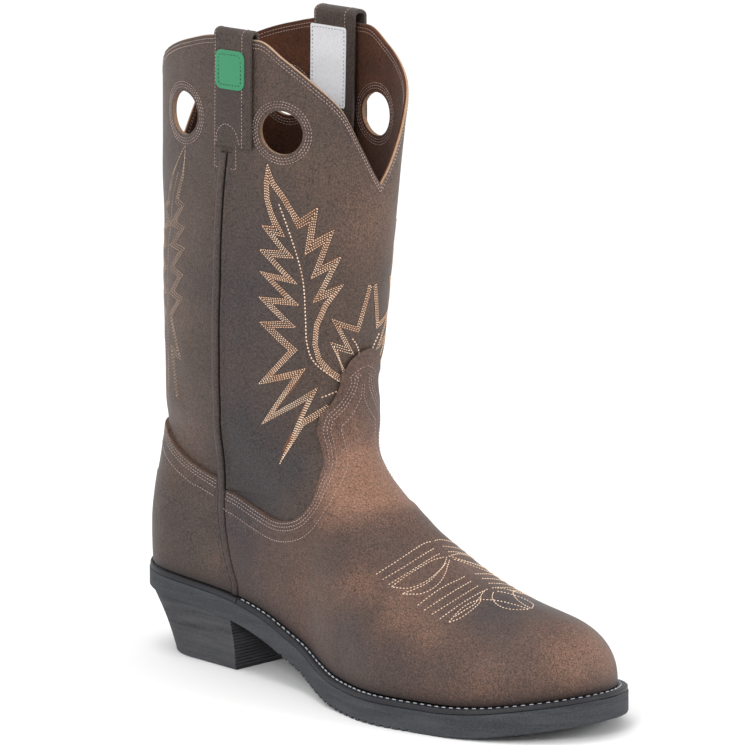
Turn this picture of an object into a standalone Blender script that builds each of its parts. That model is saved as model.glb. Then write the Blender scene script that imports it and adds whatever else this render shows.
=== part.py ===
"""A western work boot for the right foot, standing empty on its sole.

Sizes are in metres. The toe points along +X, the inner side of the foot is +Y and up is +Z.
The tables run along the sole from its back, or up from the floor, and give their lengths as shares of
the named sizes.
"""

import math

import bpy
import numpy as np

# Overall sizes
SOLE_LENGTH = 0.311
BALL_WIDTH = 0.110
LEG_HEIGHT = 0.3345
INSTEP_RISE = 0.1750
HEEL_RISE = 0.0345
SOLE_THICK = 0.0120
FEATHER_DEPTH = 0.0074

# Leather, rubber and the gaps between pieces
WALL = 0.0022
OVERLAY_THICK = 0.0013
SEAM_THICK = 0.0016
SEAM_WIDTH = 0.0052
STRAP_THICK = 0.0020
WELT_THICK = 0.0026
INSOLE_RISE = 0.0026
GAP = 0.0003
SEAT_GAP = 0.0004
STAND_GAP = 0.0005
EDGE_INSET = 0.0004
OVERLAY_GAP = 0.0006
SIDE_GAP = 0.0007

# Plan of the sole: share of the length, then half width and shift to the inner side as shares of the
# ball width
PLAN = (
    (0.00, 0.325, 0.000),
    (0.12, 0.330, 0.000),
    (0.26, 0.300, -0.015),
    (0.42, 0.310, -0.040),
    (0.56, 0.420, -0.060),
    (0.68, 0.490, -0.045),
    (0.80, 0.475, 0.005),
    (0.90, 0.435, 0.045),
    (1.00, 0.385, 0.075),
)
HEEL_ROUND = 0.115
TOE_ROUND = 0.200
TOE_POWER_ALONG = 2.3
TOE_POWER_ACROSS = 1.95

# Sole seen from the side: share of the length, height of the underside as a share of the heel rise,
# and of the edge as a share of the sole's thickness
SOLE = (
    (0.00, 1.0000, 0.8333),
    (0.12, 0.9275, 0.8333),
    (0.27, 0.7681, 0.8750),
    (0.34, 0.6232, 0.9167),
    (0.42, 0.3623, 0.9583),
    (0.50, 0.1304, 1.0000),
    (0.58, 0.0174, 1.0000),
    (0.64, 0.0000, 1.0000),
    (0.78, 0.0000, 1.0000),
    (0.85, 0.0377, 1.0000),
    (0.92, 0.1304, 1.0000),
    (1.00, 0.2754, 0.9583),
)
RIB_START = 0.118
RIB_END = 0.232
RIB_PITCH = 0.0052
RIB_DEPTH = 0.0011

# Heel block
HEEL_BREAST_BASE = 0.0820
HEEL_BREAST_TOP = 0.0800
HEEL_BACK_BASE = 0.0180
HEEL_BACK_TOP = 0.0016
HEEL_BASE_HALF = 0.0295
HEEL_TOP_INSET = 0.0012
HEEL_BASE_ROUND = 0.0290

# How far the line where the upper meets the welt lies inside the sole's edge: share of the length,
# inset as a share of the feather depth
FEATHER_INSET = (
    (0.00, 0.5405),
    (0.20, 0.5676),
    (0.33, 0.7838),
    (0.60, 0.9459),
    (1.00, 1.0000),
)
WELT_START = 0.086

# Ridge of the foot from the instep to the toe: share of the length, share of the instep's rise
RIDGE = (
    (0.40, 1.0000),
    (0.45, 0.8000),
    (0.50, 0.6714),
    (0.56, 0.5657),
    (0.64, 0.4629),
    (0.72, 0.3886),
    (0.80, 0.3400),
    (0.88, 0.3143),
    (0.94, 0.2983),
    (1.00, 0.2811),
)
TOE_INSET = 0.0074
TOE_CAP = 0.036
TOE_CAP_POWER_ALONG = 2.6
TOE_CAP_POWER_UP = 2.1

# Rounding of the foot's cross section: share of the length, power up, power across
DOME = (
    (0.30, 2.2, 2.0),
    (0.60, 2.1, 1.8),
    (0.80, 2.4, 1.9),
    (1.00, 2.8, 2.0),
)
SIDE_BULGE = 0.035
RIDGE_LEAN = 0.4

# Back line of the heel: height as a share of the instep's rise, share of the length
BACK = (
    (0.2286, 0.0135),
    (0.3143, 0.0090),
    (0.4000, 0.0096),
    (0.4857, 0.0177),
    (0.5714, 0.0289),
    (0.6571, 0.0347),
    (0.7429, 0.0370),
)

# Sections of the leg: share of the leg's height, back and front as shares of the length, half width as a
# share of the ball width, power of the oval on the outer side and on the inner side
LEG = (
    (0.2990, 0.0305, 0.4823, 0.3318, 2.2, 2.2),
    (0.3886, 0.0370, 0.4534, 0.3455, 2.2, 2.2),
    (0.5979, 0.0338, 0.4823, 0.3727, 2.2, 2.2),
    (0.7773, 0.0322, 0.5048, 0.3727, 2.2, 2.3),
    (1.0164, 0.0305, 0.5273, 0.3636, 2.2, 3.0),
)
FOOT_LOW = 0.052
FOOT_TOP = 0.095
RISE_EVEN = 0.35
LEG_FROM = 0.085
LEG_FULL = 0.135
LEG_START = 0.158

# Collar from the back centre to the front centre: share of the way round, share of the leg's height
COLLAR = (
    (0.00, 0.800),
    (0.02, 0.822),
    (0.05, 0.862),
    (0.09, 0.905),
    (0.13, 0.932),
    (0.20, 0.960),
    (0.32, 0.985),
    (0.45, 1.000),
    (0.60, 1.000),
    (0.69, 0.975),
    (0.78, 0.943),
    (0.86, 0.906),
    (0.92, 0.853),
    (0.97, 0.806),
    (1.00, 0.783),
)

# Side seam: share of the leg's height, share of the length
SEAM = (
    (0.1345, 0.2637),
    (0.1794, 0.2460),
    (0.2691, 0.2299),
    (0.3886, 0.2460),
    (0.6278, 0.2588),
    (0.7474, 0.2669),
    (0.8670, 0.2830),
    (1.0164, 0.2926),
)

# Top edge of the vamp, from the side seam to its peak, and of the heel counter, from the seam to the back:
# share of the length, share of the instep's rise
VAMP_EDGE = (
    (0.1929, 0.5543),
    (0.2572, 0.5343),
    (0.3151, 0.5029),
    (0.3601, 0.4857),
    (0.3987, 0.4971),
    (0.4244, 0.5286),
    (0.4405, 0.5829),
    (0.4421, 0.6514),
    (0.4357, 0.7086),
    (0.4309, 0.7600),
    (0.4312, 0.7829),
    (0.4347, 0.8131),
    (0.4466, 0.8497),
    (0.4559, 0.9063),
    (0.4572, 0.9269),
    (0.4650, 0.9554),
    (0.4704, 0.9789),
    (0.4823, 1.0229),
)
COUNTER_EDGE = (
    (0.2572, 0.5543),
    (0.2219, 0.5743),
    (0.1801, 0.5971),
    (0.1383, 0.6286),
    (0.0965, 0.6714),
    (0.0740, 0.6886),
    (-0.0322, 0.7029),
)

# The rest of the area under each of those edges, wide of the boot
VAMP_REST = ((1.1, 1.03), (1.1, -0.06), (0.19, -0.06))
COUNTER_REST = ((-0.03, -0.06), (0.32, -0.06), (0.32, 0.55))

# Pull holes: name, share of the length, share of the leg's height
HOLES = (
    ("front_outer", 0.3922, 0.8640),
    ("back_outer", 0.1672, 0.8703),
    ("front_inner", 0.3810, 0.8655),
    ("back_inner", 0.1672, 0.8730),
)
HOLE_TALL = 0.0225
HOLE_LONG = 0.0250
HOLE_SIDES = 20
HOLE_REACH = 0.024

# Pull straps: side, middle as a share of the length, width, rise above the leg, how far the inside end
# hangs clear of the leg
STRAPS = (
    ("outer", 0.2974, 0.0264, 0.0049, 0.0000),
    ("inner", 0.2894, 0.0300, 0.0078, 0.0025),
)

# Lengths down from the leg's height to the ends of the straps, the start of their loops and the seam's end
STRAP_OUTSIDE = 0.0555
STRAP_INSIDE = 0.1045
STRAP_FOLD = 0.0085
SEAM_STOP = 0.0007

# Mesh sizes
BACK_COLUMNS = 6
FRONT_COLUMNS = 18
FRONT_CROWDING = 1.3
FOOT_RINGS = 11
ANKLE_RINGS = 6
LEG_RINGS = 9
FINE_STEPS = 5
SLICE_POINTS = 300

SOLE_STATIONS = 44
END_TRIM = 0.02
RIB_FLANK = 0.0004
HEEL_STATIONS = 14
WELT_STATIONS = 22
RAND_STATIONS = 12
INSOLE_STATIONS = 36
STRAP_COLUMNS = 4
STRAP_RUNGS = 5
ARCH_STEPS = 6
HEADING_STEP = 0.0015
RIDGE_START = 0.25
RIDGE_POINTS = 1600
SEAM_LOOK = 0.3
EDGE_START = 0.02
EDGE_LOOKS = 6
THIN_RING = 0.2
LEVEL_TINY = 1e-9
HEIGHT_TINY = 1e-6

HALF_COLUMNS = BACK_COLUMNS + 1 + FRONT_COLUMNS
ALL_COLUMNS = 2 * HALF_COLUMNS
ALL_RINGS = FOOT_RINGS + ANKLE_RINGS + LEG_RINGS
FOOT_END = FOOT_RINGS / ALL_RINGS
ANKLE_END = (FOOT_RINGS + ANKLE_RINGS) / ALL_RINGS
FINE_LEVELS = ALL_RINGS * FINE_STEPS + 1


bpy.ops.object.select_all(action="DESELECT")
for leftover in list(bpy.data.objects):
    bpy.data.objects.remove(leftover)
PARTS = bpy.data.collections.new("western_work_boot")
CUTTERS = bpy.data.collections.new("cutters")
CUTTERS.hide_render = True
bpy.context.scene.collection.children.link(PARTS)
bpy.context.scene.collection.children.link(CUTTERS)


def smooth(rows, column, x):
    """Reads a column of a table at x with a soft curve that never overshoots its rows."""
    xs = np.array([row[0] for row in rows], float)
    ys = np.array([row[column] for row in rows], float)
    steps = np.diff(ys) / np.diff(xs)
    slopes = np.empty_like(ys)
    slopes[0] = steps[0]
    slopes[-1] = steps[-1]
    for i in range(1, len(steps)):
        product = steps[i - 1] * steps[i]
        slopes[i] = 2 * product / (steps[i - 1] + steps[i]) if product > 0 else 0.0
    x = np.clip(np.asarray(x, float), xs[0], xs[-1])
    i = np.clip(np.searchsorted(xs, x, side="right") - 1, 0, len(xs) - 2)
    width = xs[i + 1] - xs[i]
    t = (x - xs[i]) / width
    low = (2 * t**3 - 3 * t**2 + 1) * ys[i] + (t**3 - 2 * t**2 + t) * width * slopes[i]
    high = (3 * t**2 - 2 * t**3) * ys[i + 1] + (t**3 - t**2) * width * slopes[i + 1]
    return low + high


def share(x):
    return np.asarray(x, float) / SOLE_LENGTH


def sole_under(x):
    return smooth(SOLE, 1, share(x)) * HEEL_RISE


def sole_top(x):
    return sole_under(x) + smooth(SOLE, 2, share(x)) * SOLE_THICK


def feather_height(x):
    """Height of the line where the upper stands on the welt."""
    return sole_top(x) + WELT_THICK + GAP + STAND_GAP


def feather_inset(x):
    return smooth(FEATHER_INSET, 1, share(x)) * FEATHER_DEPTH


def toe_round(x, end):
    nose = np.clip(1 - (end - x) / (TOE_ROUND * SOLE_LENGTH - (SOLE_LENGTH - end)), 0, 1)
    return (1 - nose**TOE_POWER_ALONG) ** (1 / TOE_POWER_ACROSS)


def heel_round(x, start):
    tail = np.clip(1 - (x - start) / (HEEL_ROUND * SOLE_LENGTH - start), 0, 1)
    return np.sqrt(1 - tail**2)


def centre(x):
    return smooth(PLAN, 2, share(x)) * BALL_WIDTH


def half_width(x, inset):
    """Half width of the sole's outline, drawn in by the inset all round."""
    full = smooth(PLAN, 1, share(x)) * BALL_WIDTH - inset
    back = float(np.min(inset))
    front = SOLE_LENGTH - float(np.max(inset))
    return full * heel_round(x, back) * toe_round(x, front)


def ridge_height(x):
    low = feather_height(x)
    nose = np.clip(1 - (SOLE_LENGTH - TOE_INSET - x) / TOE_CAP, 0, 1)
    cap = (1 - nose**TOE_CAP_POWER_ALONG) ** (1 / TOE_CAP_POWER_UP)
    return low + (smooth(RIDGE, 1, share(x)) * INSTEP_RISE - low) * cap


def foot_slice(rise, height):
    """Outer and inner side of a level line of the foot. Rise 0 is the feather line and rise 1 is level."""

    def level(x):
        low = feather_height(x)
        return low + (height - low) * rise

    toe = SOLE_LENGTH - TOE_INSET
    along = np.linspace(RIDGE_START * SOLE_LENGTH, toe, RIDGE_POINTS)
    spare = ridge_height(along) - level(along)
    last = int(np.nonzero(spare >= -LEVEL_TINY)[0].max())
    front = along[last]
    if last < len(along) - 1:
        step = spare[last] / (spare[last] - spare[last + 1])
        front = front + (along[last + 1] - front) * step
    back = float(smooth(BACK, 1, float(level(0.0)) / INSTEP_RISE)) * SOLE_LENGTH
    x = back + (front - back) * (1 - np.cos(np.linspace(0, math.pi, SLICE_POINTS))) / 2
    low = feather_height(x)
    z = level(x)
    tau = np.clip((z - low) / np.maximum(ridge_height(x) - low, HEIGHT_TINY), 0, 1)
    power_up = smooth(DOME, 1, share(x))
    power_across = smooth(DOME, 2, share(x))
    dome = (1 - tau**power_up) ** (1 / power_across) * (1 + 4 * SIDE_BULGE * tau * (1 - tau))
    full = smooth(PLAN, 1, share(x)) * BALL_WIDTH - feather_inset(x)
    half = full * heel_round(x, back) * toe_round(x, toe) * dome
    middle = centre(x) * (1 - RIDGE_LEAN * tau)
    return np.stack([x, middle - half, z], 1), np.stack([x, middle + half, z], 1)


def leg_slice(height):
    """Outer and inner side of a level section of the leg, from back to front."""
    back, front, half = [float(smooth(LEG, i, height / LEG_HEIGHT)) for i in (1, 2, 3)]
    turn = np.linspace(0, math.pi, SLICE_POINTS)
    middle = (back + front) / 2 * SOLE_LENGTH
    reach = (front - back) / 2 * SOLE_LENGTH
    sides = []
    for column, side in ((4, -1), (5, 1)):
        power = float(smooth(LEG, column, height / LEG_HEIGHT))
        x = middle - reach * np.sign(np.cos(turn)) * np.abs(np.cos(turn)) ** (2 / power)
        y = side * half * BALL_WIDTH * np.abs(np.sin(turn)) ** (2 / power)
        sides.append(np.stack([x, y, np.full(SLICE_POINTS, height)], 1))
    return sides


def lengths(line):
    steps = np.linalg.norm(np.diff(line, axis=0), axis=1)
    return np.concatenate([[0], np.cumsum(steps)])


def at_lengths(line, where):
    along = lengths(line)
    return np.stack([np.interp(where, along, line[:, i]) for i in range(3)], 1)


def column_lengths(line):
    """Places of the columns along one side of a ring. Two of them lie on the edges of the side seam."""
    along = lengths(line)
    height = float(np.interp(SEAM_LOOK, along / along[-1], line[:, 2]))
    target = float(smooth(SEAM, 1, height / LEG_HEIGHT)) * SOLE_LENGTH
    seam = float(np.interp(target, line[:, 0], along))
    before = seam - SEAM_WIDTH / 2
    after = seam + SEAM_WIDTH / 2
    t = np.arange(1, FRONT_COLUMNS + 1) / FRONT_COLUMNS
    t = 1 - (1 - t) ** FRONT_CROWDING
    back = np.linspace(0, before, BACK_COLUMNS + 1)
    return np.concatenate([back, [after], after + (along[-1] - after) * t])


def collar_height(way):
    return smooth(COLLAR, 1, way) * LEG_HEIGHT


def ring(v):
    """All column points at level v: outer side from back to front, then inner side from front to back."""
    sides = []
    if v <= ANKLE_END:
        t = min(1.0, v / FOOT_END)
        rise = RISE_EVEN * t + (1 - RISE_EVEN) * (1 - (1 - t) ** 2)
        height = FOOT_LOW + (FOOT_TOP - FOOT_LOW) * rise
        if v > FOOT_END:
            height = FOOT_TOP + (LEG_START - FOOT_TOP) * (v - FOOT_END) / (ANKLE_END - FOOT_END)
        mix = 0.0
        if rise >= 1.0:
            mix = min(1.0, max(0.0, (height - LEG_FROM) / (LEG_FULL - LEG_FROM)))
            mix = mix * mix * (3 - 2 * mix)
        feet = foot_slice(rise, min(height, LEG_FULL))
        legs = leg_slice(height)
        for foot, leg in zip(feet, legs):
            foot_points = at_lengths(foot, column_lengths(foot))
            leg_points = at_lengths(leg, column_lengths(leg))
            sides.append(foot_points * (1 - mix) + leg_points * mix)
    else:
        t = (v - ANKLE_END) / (1 - ANKLE_END)
        base = leg_slice(LEG_START)[0]
        way = column_lengths(base) / lengths(base)[-1]
        heights = LEG_START + (collar_height(way) - LEG_START) * t
        for side in (0, 1):
            points = []
            for column, height in enumerate(heights):
                line = leg_slice(float(height))[side]
                points.append(at_lengths(line, column_lengths(line)[column : column + 1])[0])
            sides.append(np.array(points))
    outer, inner = sides
    outer = outer.copy()
    middle = (outer[0] + inner[0]) / 2, (outer[-1] + inner[-1]) / 2
    outer[0], outer[-1] = middle
    return np.concatenate([outer, inner[1:-1][::-1]])


def fine_grid():
    return np.array([ring(v) for v in np.linspace(0, 1, FINE_LEVELS)])


def normals_of(grid):
    """Outward unit normals of a grid of closed rings."""
    around = np.roll(grid, -1, axis=1) - np.roll(grid, 1, axis=1)
    up = np.gradient(grid, axis=0)
    normal = np.cross(around, up)
    return normal / np.linalg.norm(normal, axis=2, keepdims=True)


def sample(grid, column, v):
    """A point of the grid, or of its normals, at a column and a level."""
    place = min(max(v, 0.0), 1.0) * (FINE_LEVELS - 1)
    i = min(int(place), FINE_LEVELS - 2)
    return grid[i, column] * (1 - (place - i)) + grid[i + 1, column] * (place - i)


def inside(polygon, x, z):
    """True where the point lies in the polygon of x and height."""
    hit = False
    for (xa, za), (xb, zb) in zip(polygon, polygon[1:] + polygon[:1]):
        if (za > z) != (zb > z) and x < xa + (xb - xa) * (z - za) / (zb - za):
            hit = not hit
    return hit


def top_level(grid, column, polygon):
    """The level at which a column leaves the polygon."""
    for v in np.linspace(EDGE_START, 1, EDGE_LOOKS * FINE_LEVELS):
        x, _, z = sample(grid, column, v)
        if not inside(polygon, x, z):
            return v
    return 1.0


def frame_shift():
    """The middle of the sole's outline, which becomes the origin."""
    x = outsole_stations()
    half = half_width(x, 0.0)
    sides = np.concatenate([centre(x) - half, centre(x) + half])
    return np.array([(x[0] + x[-1]) / 2, (sides.min() + sides.max()) / 2, 0.0])


def rounded_stations(start, end, count):
    """Places along the sole, crowded towards both round ends and stopping just short of them."""
    t = np.linspace(END_TRIM, 1 - END_TRIM, count)
    return start + (end - start) * (1 - np.cos(math.pi * t)) / 2


def outsole_stations():
    plain = rounded_stations(0.0, SOLE_LENGTH, SOLE_STATIONS)
    flank = RIB_FLANK
    ribs = []
    for i in range(int((RIB_END - RIB_START) / RIB_PITCH)):
        start = RIB_START + i * RIB_PITCH
        half = RIB_PITCH / 2
        ribs += [start, start + half - flank, start + half, start + RIB_PITCH - flank]
    keep = (plain < RIB_START - flank) | (plain > ribs[-1] + flank)
    return np.sort(np.concatenate([plain[keep], ribs]))


def rib_depth(x):
    """How far the underside is cut back between the ribs."""
    depth = []
    for value in x:
        place = (value - RIB_START + RIB_FLANK / 4) / RIB_PITCH
        groove = (place - math.floor(place)) * RIB_PITCH >= RIB_PITCH / 2
        depth.append(RIB_DEPTH if RIB_START < value < RIB_END and groove else 0.0)
    return np.array(depth)


def solid(name, low, high, wrap, finish):
    """Joins two grids of points with the same rows and columns into one closed solid."""
    low = np.asarray(low) - SHIFT
    high = np.asarray(high) - SHIFT
    rows, columns = low.shape[:2]
    points = [tuple(p) for p in low.reshape(-1, 3)] + [tuple(p) for p in high.reshape(-1, 3)]
    layer = rows * columns
    faces = []

    def number(side, row, column):
        return side * layer + row * columns + column % columns

    for row in range(rows - 1):
        for column in range(columns if wrap else columns - 1):
            here, beside = (row, column), (row, column + 1)
            above, across = (row + 1, column), (row + 1, column + 1)
            for triangle in ((here, beside, above), (above, beside, across)):
                faces.append([number(1, r, c) for r, c in triangle])
                faces.append([number(0, r, c) for r, c in reversed(triangle)])

    def rim(first, second):
        """A face across the edge of the two grids, from one place to the next."""
        faces.append([number(0, *first), number(0, *second), number(1, *second), number(1, *first)])

    for column in range(columns if wrap else columns - 1):
        rim((0, column), (0, column + 1))
        rim((rows - 1, column + 1), (rows - 1, column))
    if not wrap:
        for row in range(rows - 1):
            rim((row + 1, 0), (row, 0))
            rim((row, columns - 1), (row + 1, columns - 1))
    return mesh_object(name, points, faces, finish)


def mesh_object(name, points, faces, finish):
    mesh = bpy.data.meshes.new(name)
    mesh.from_pydata(points, [], faces)
    mesh.update()
    mesh.materials.append(finish)
    piece = bpy.data.objects.new(name, mesh)
    PARTS.objects.link(piece)
    return piece


def material(name, colour, roughness):
    made = bpy.data.materials.new(name)
    made.use_nodes = True
    shader = made.node_tree.nodes["Principled BSDF"]
    shader.inputs["Base Color"].default_value = (*colour, 1.0)
    shader.inputs["Roughness"].default_value = roughness
    return made


SHIFT = frame_shift()


def flat_rows(x, half, z):
    """One row of two points, on the inner and the outer side, for each place along the sole."""
    inner = np.stack([x, centre(x) + half, z], 1)
    outer = np.stack([x, centre(x) - half, z], 1)
    return np.stack([inner, outer], 1)


def build_outsole(rubber):
    x = outsole_stations()
    half = half_width(x, 0.0)
    low = flat_rows(x, half, sole_under(x) + rib_depth(x))
    high = flat_rows(x, half, sole_top(x))
    solid("outsole", low, high, False, rubber)


def build_heel(rubber):
    way = 1 - np.cos(np.linspace(2 * END_TRIM, 1, HEEL_STATIONS) * math.pi / 2)
    base_x = HEEL_BACK_BASE + (HEEL_BREAST_BASE - HEEL_BACK_BASE) * way
    top_x = HEEL_BACK_TOP + (HEEL_BREAST_TOP - HEEL_BACK_TOP) * way
    tail = np.clip(1 - (base_x - HEEL_BACK_BASE) / HEEL_BASE_ROUND, 0, 1)
    base_half = HEEL_BASE_HALF * np.sqrt(1 - tail**2)
    top_full = smooth(PLAN, 1, share(top_x)) * BALL_WIDTH - HEEL_TOP_INSET
    top_half = top_full * heel_round(top_x, HEEL_BACK_TOP)
    low = flat_rows(base_x, base_half, np.zeros(HEEL_STATIONS))
    high = flat_rows(top_x, top_half, sole_under(top_x) - GAP)
    solid("heel", low, high, False, rubber)


def build_band(name, material_of_band, front):
    """The welt round the forepart, or the rand round the heel seat, as one flat strip."""
    count = WELT_STATIONS if front else RAND_STATIONS
    t = np.linspace(0, 1, count)
    edges = []

    def outside(x):
        return np.full_like(x, EDGE_INSET)

    def under_the_wall(x):
        return feather_inset(x) + WALL + SEAT_GAP

    for inset_of in (outside, under_the_wall):
        if front:
            end = SOLE_LENGTH - float(np.max(inset_of(np.array([SOLE_LENGTH]))))
            x = WELT_START + (end - WELT_START) * np.sin(t * math.pi / 2)
        else:
            start = float(np.min(inset_of(np.array([0.0]))))
            x = start + (WELT_START - SIDE_GAP - start) * (1 - np.cos(t * math.pi / 2))
        half = half_width(x, inset_of(x))
        outer = np.stack([x, centre(x) - half, sole_top(x) + GAP], 1)
        inner = np.stack([x, centre(x) + half, sole_top(x) + GAP], 1)
        if front:
            edges.append(np.concatenate([outer, inner[:-1][::-1]]))
        else:
            edges.append(np.concatenate([inner[::-1], outer[1:]]))
    low = np.stack(edges[::-1], 1)
    high = low + np.array([0.0, 0.0, WELT_THICK])
    solid(name, low, high, False, material_of_band)


def build_insole(board):
    inset_back = float(feather_inset(0.0)) + WALL + SIDE_GAP + SEAT_GAP
    inset_front = float(feather_inset(SOLE_LENGTH)) + WALL + SIDE_GAP + SEAT_GAP
    x = rounded_stations(inset_back, SOLE_LENGTH - inset_front, INSOLE_STATIONS)
    inset = feather_inset(x) + WALL + SIDE_GAP + SEAT_GAP
    full = smooth(PLAN, 1, share(x)) * BALL_WIDTH - inset
    half = full * heel_round(x, inset_back) * toe_round(x, SOLE_LENGTH - inset_front)
    low = flat_rows(x, half, sole_top(x) + GAP)
    high = flat_rows(x, half, feather_height(x) + INSOLE_RISE)
    solid("insole", low, high, False, board)


def shifted(grid, normals, column, v, offset):
    """A point of the surface moved out by an offset. On the feather line it stays level."""
    normal = sample(normals, column, v).copy()
    if v <= 0.0:
        normal[2] = 0.0
    normal /= np.linalg.norm(normal)
    return sample(grid, column, v) + normal * offset


def build_upper(grid, normals, leather):
    levels = levels_to(1.0)
    columns = range(ALL_COLUMNS)
    high = np.array([[shifted(grid, normals, c, v, 0.0) for c in columns] for v in levels])
    low = np.array([[shifted(grid, normals, c, v, -WALL) for c in columns] for v in levels])
    upper = solid("upper", low, high, True, leather)
    for name, along, up in HOLES:
        side = 1 if name.endswith("inner") else -1
        cut = upper.modifiers.new(name, "BOOLEAN")
        cut.operation = "DIFFERENCE"
        cut.solver = "EXACT"
        cut.object = hole_cutter(f"hole_{name}", side, along * SOLE_LENGTH, up * LEG_HEIGHT)


def hole_cutter(name, side, x, height):
    line = leg_slice(height)[0 if side < 0 else 1]
    along = lengths(line)
    where = float(np.interp(x, line[:, 0], along))
    here, ahead = at_lengths(line, np.array([where - HEADING_STEP, where + HEADING_STEP]))
    heading = ahead - here
    turn = math.atan2(heading[1], heading[0])
    spot = (here + ahead) / 2 - SHIFT
    bpy.ops.mesh.primitive_cylinder_add(
        vertices=HOLE_SIDES, radius=0.5, depth=HOLE_REACH, location=tuple(spot)
    )
    cutter = bpy.context.object
    cutter.name = name
    cutter.rotation_euler = (math.pi / 2, 0.0, turn)
    cutter.scale = (HOLE_LONG, HOLE_TALL, 1.0)
    for collection in list(cutter.users_collection):
        collection.objects.unlink(cutter)
    CUTTERS.objects.link(cutter)
    cutter.hide_render = True
    cutter.display_type = "WIRE"
    return cutter


def levels_to(top):
    """The levels of the upper's rings up to a top level, so that layers over it share its facets."""
    rings = np.arange(ALL_RINGS + 1) / ALL_RINGS
    return [v for v in rings if v < top - THIN_RING / ALL_RINGS] + [top]


def build_overlay(name, grid, normals, columns, polygon, leather):
    """A second layer of leather over the upper, up to the edge drawn in the side view."""
    ladders = [levels_to(top_level(grid, column, polygon)) for column in columns]
    starts = np.concatenate([[0], np.cumsum([len(ladder) for ladder in ladders])])
    layer = int(starts[-1])
    points = []
    for offset in (OVERLAY_GAP, OVERLAY_GAP + OVERLAY_THICK):
        for column, ladder in zip(columns, ladders):
            points += [tuple(shifted(grid, normals, column, v, offset) - SHIFT) for v in ladder]
    faces = []

    def wall(first, second):
        faces.append([first, second, second + layer, first + layer])

    for number in range(len(columns) - 1):
        left, right = ladders[number], ladders[number + 1]
        a, b = int(starts[number]), int(starts[number + 1])
        i = j = 0
        while i < len(left) - 1 or j < len(right) - 1:
            up_left = j == len(right) - 1 or (i < len(left) - 1 and left[i + 1] <= right[j + 1])
            triangle = [a + i, b + j, a + i + 1 if up_left else b + j + 1]
            i, j = (i + 1, j) if up_left else (i, j + 1)
            faces.append([corner + layer for corner in triangle])
            faces.append(triangle[::-1])
        wall(a, b)
        wall(b + len(right) - 1, a + len(left) - 1)
    for i in range(len(ladders[0]) - 1):
        wall(i + 1, i)
    for i in range(len(ladders[-1]) - 1):
        wall(int(starts[-2]) + i, int(starts[-2]) + i + 1)
    mesh_object(name, points, faces, leather)


def build_seam(name, grid, normals, side, leather):
    """The raised strip over the joint of the front and the back of the leg."""
    first = BACK_COLUMNS if side < 0 else ALL_COLUMNS - BACK_COLUMNS
    second = first + 1 if side < 0 else first - 1
    steps = np.linspace(0, 1, FINE_LEVELS)
    heights = [sample(grid, first, v)[2] for v in steps]
    margin = SIDE_GAP / SEAM_WIDTH
    top = LEG_HEIGHT - STRAP_OUTSIDE - SEAM_STOP
    low = []
    high = []
    for v in levels_to(float(np.interp(top, heights, steps))):
        for rows, offset in ((low, OVERLAY_GAP), (high, OVERLAY_GAP + SEAM_THICK)):
            a = shifted(grid, normals, first, v, offset)
            b = shifted(grid, normals, second, v, offset)
            pair = [a + (b - a) * margin, b + (a - b) * margin]
            rows.append(pair if side < 0 else pair[::-1])
    solid(name, np.array(low), np.array(high), False, leather)


def leg_frame(side, middle, offset, height):
    """A point of the leg at a distance along its section from a strap's middle, and the way out from it."""
    line = leg_slice(min(height, LEG_HEIGHT))[0 if side < 0 else 1]
    along = lengths(line)
    where = float(np.interp(middle * SOLE_LENGTH, line[:, 0], along)) + offset
    here, ahead = at_lengths(line, np.array([where - HEADING_STEP, where + HEADING_STEP]))
    heading = ahead - here
    out = np.array([heading[1], -heading[0], 0.0]) * (-side)
    return (here + ahead) / 2, out / np.linalg.norm(out)


def strap_path(face, rise, slack):
    """Offset from the leg and height along one face of a strap: up, over the collar and down inside."""
    offset = OVERLAY_GAP + (STRAP_THICK if face == "outer" else 0.0)
    start = LEG_HEIGHT - STRAP_OUTSIDE
    high = LEG_HEIGHT - STRAP_FOLD
    end = LEG_HEIGHT - STRAP_INSIDE
    middle = LEG_HEIGHT + rise - WALL / 2 - OVERLAY_GAP - STRAP_THICK
    up = WALL / 2 + offset
    across = up + slack / 2
    path = [(offset, z) for z in np.linspace(start, high, STRAP_RUNGS)]
    for angle in np.linspace(0, math.pi, ARCH_STEPS + 1):
        place = -(WALL + slack) / 2 + across * math.cos(angle)
        path.append((place, middle + up * math.sin(angle)))
    return path + [(-WALL - slack - offset, z) for z in np.linspace(high, end, STRAP_RUNGS)]


def build_strap(where, middle, width, rise, slack, leather):
    side = -1 if where == "outer" else 1
    grids = []
    for face in ("inner", "outer"):
        rows = []
        for offset, height in strap_path(face, rise, slack):
            row = []
            for place in width * np.linspace(-0.5, 0.5, STRAP_COLUMNS):
                spot, out = leg_frame(side, middle, place, height)
                row.append([spot[0] + out[0] * offset, spot[1] + out[1] * offset, height])
            rows.append(row if side < 0 else row[::-1])
        grids.append(np.array(rows))
    solid(f"pull_strap_{where}", grids[0], grids[1], False, leather)


def ring_columns(first, last):
    """Ring numbers from one column to another. Numbers below zero lie on the inner side of the back."""
    return [number % ALL_COLUMNS for number in range(first, last + 1)]


def panel_area(edge, rest):
    """The area of the side view that a panel covers, in metres."""
    return [(along * SOLE_LENGTH, up * INSTEP_RISE) for along, up in edge + rest]


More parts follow.
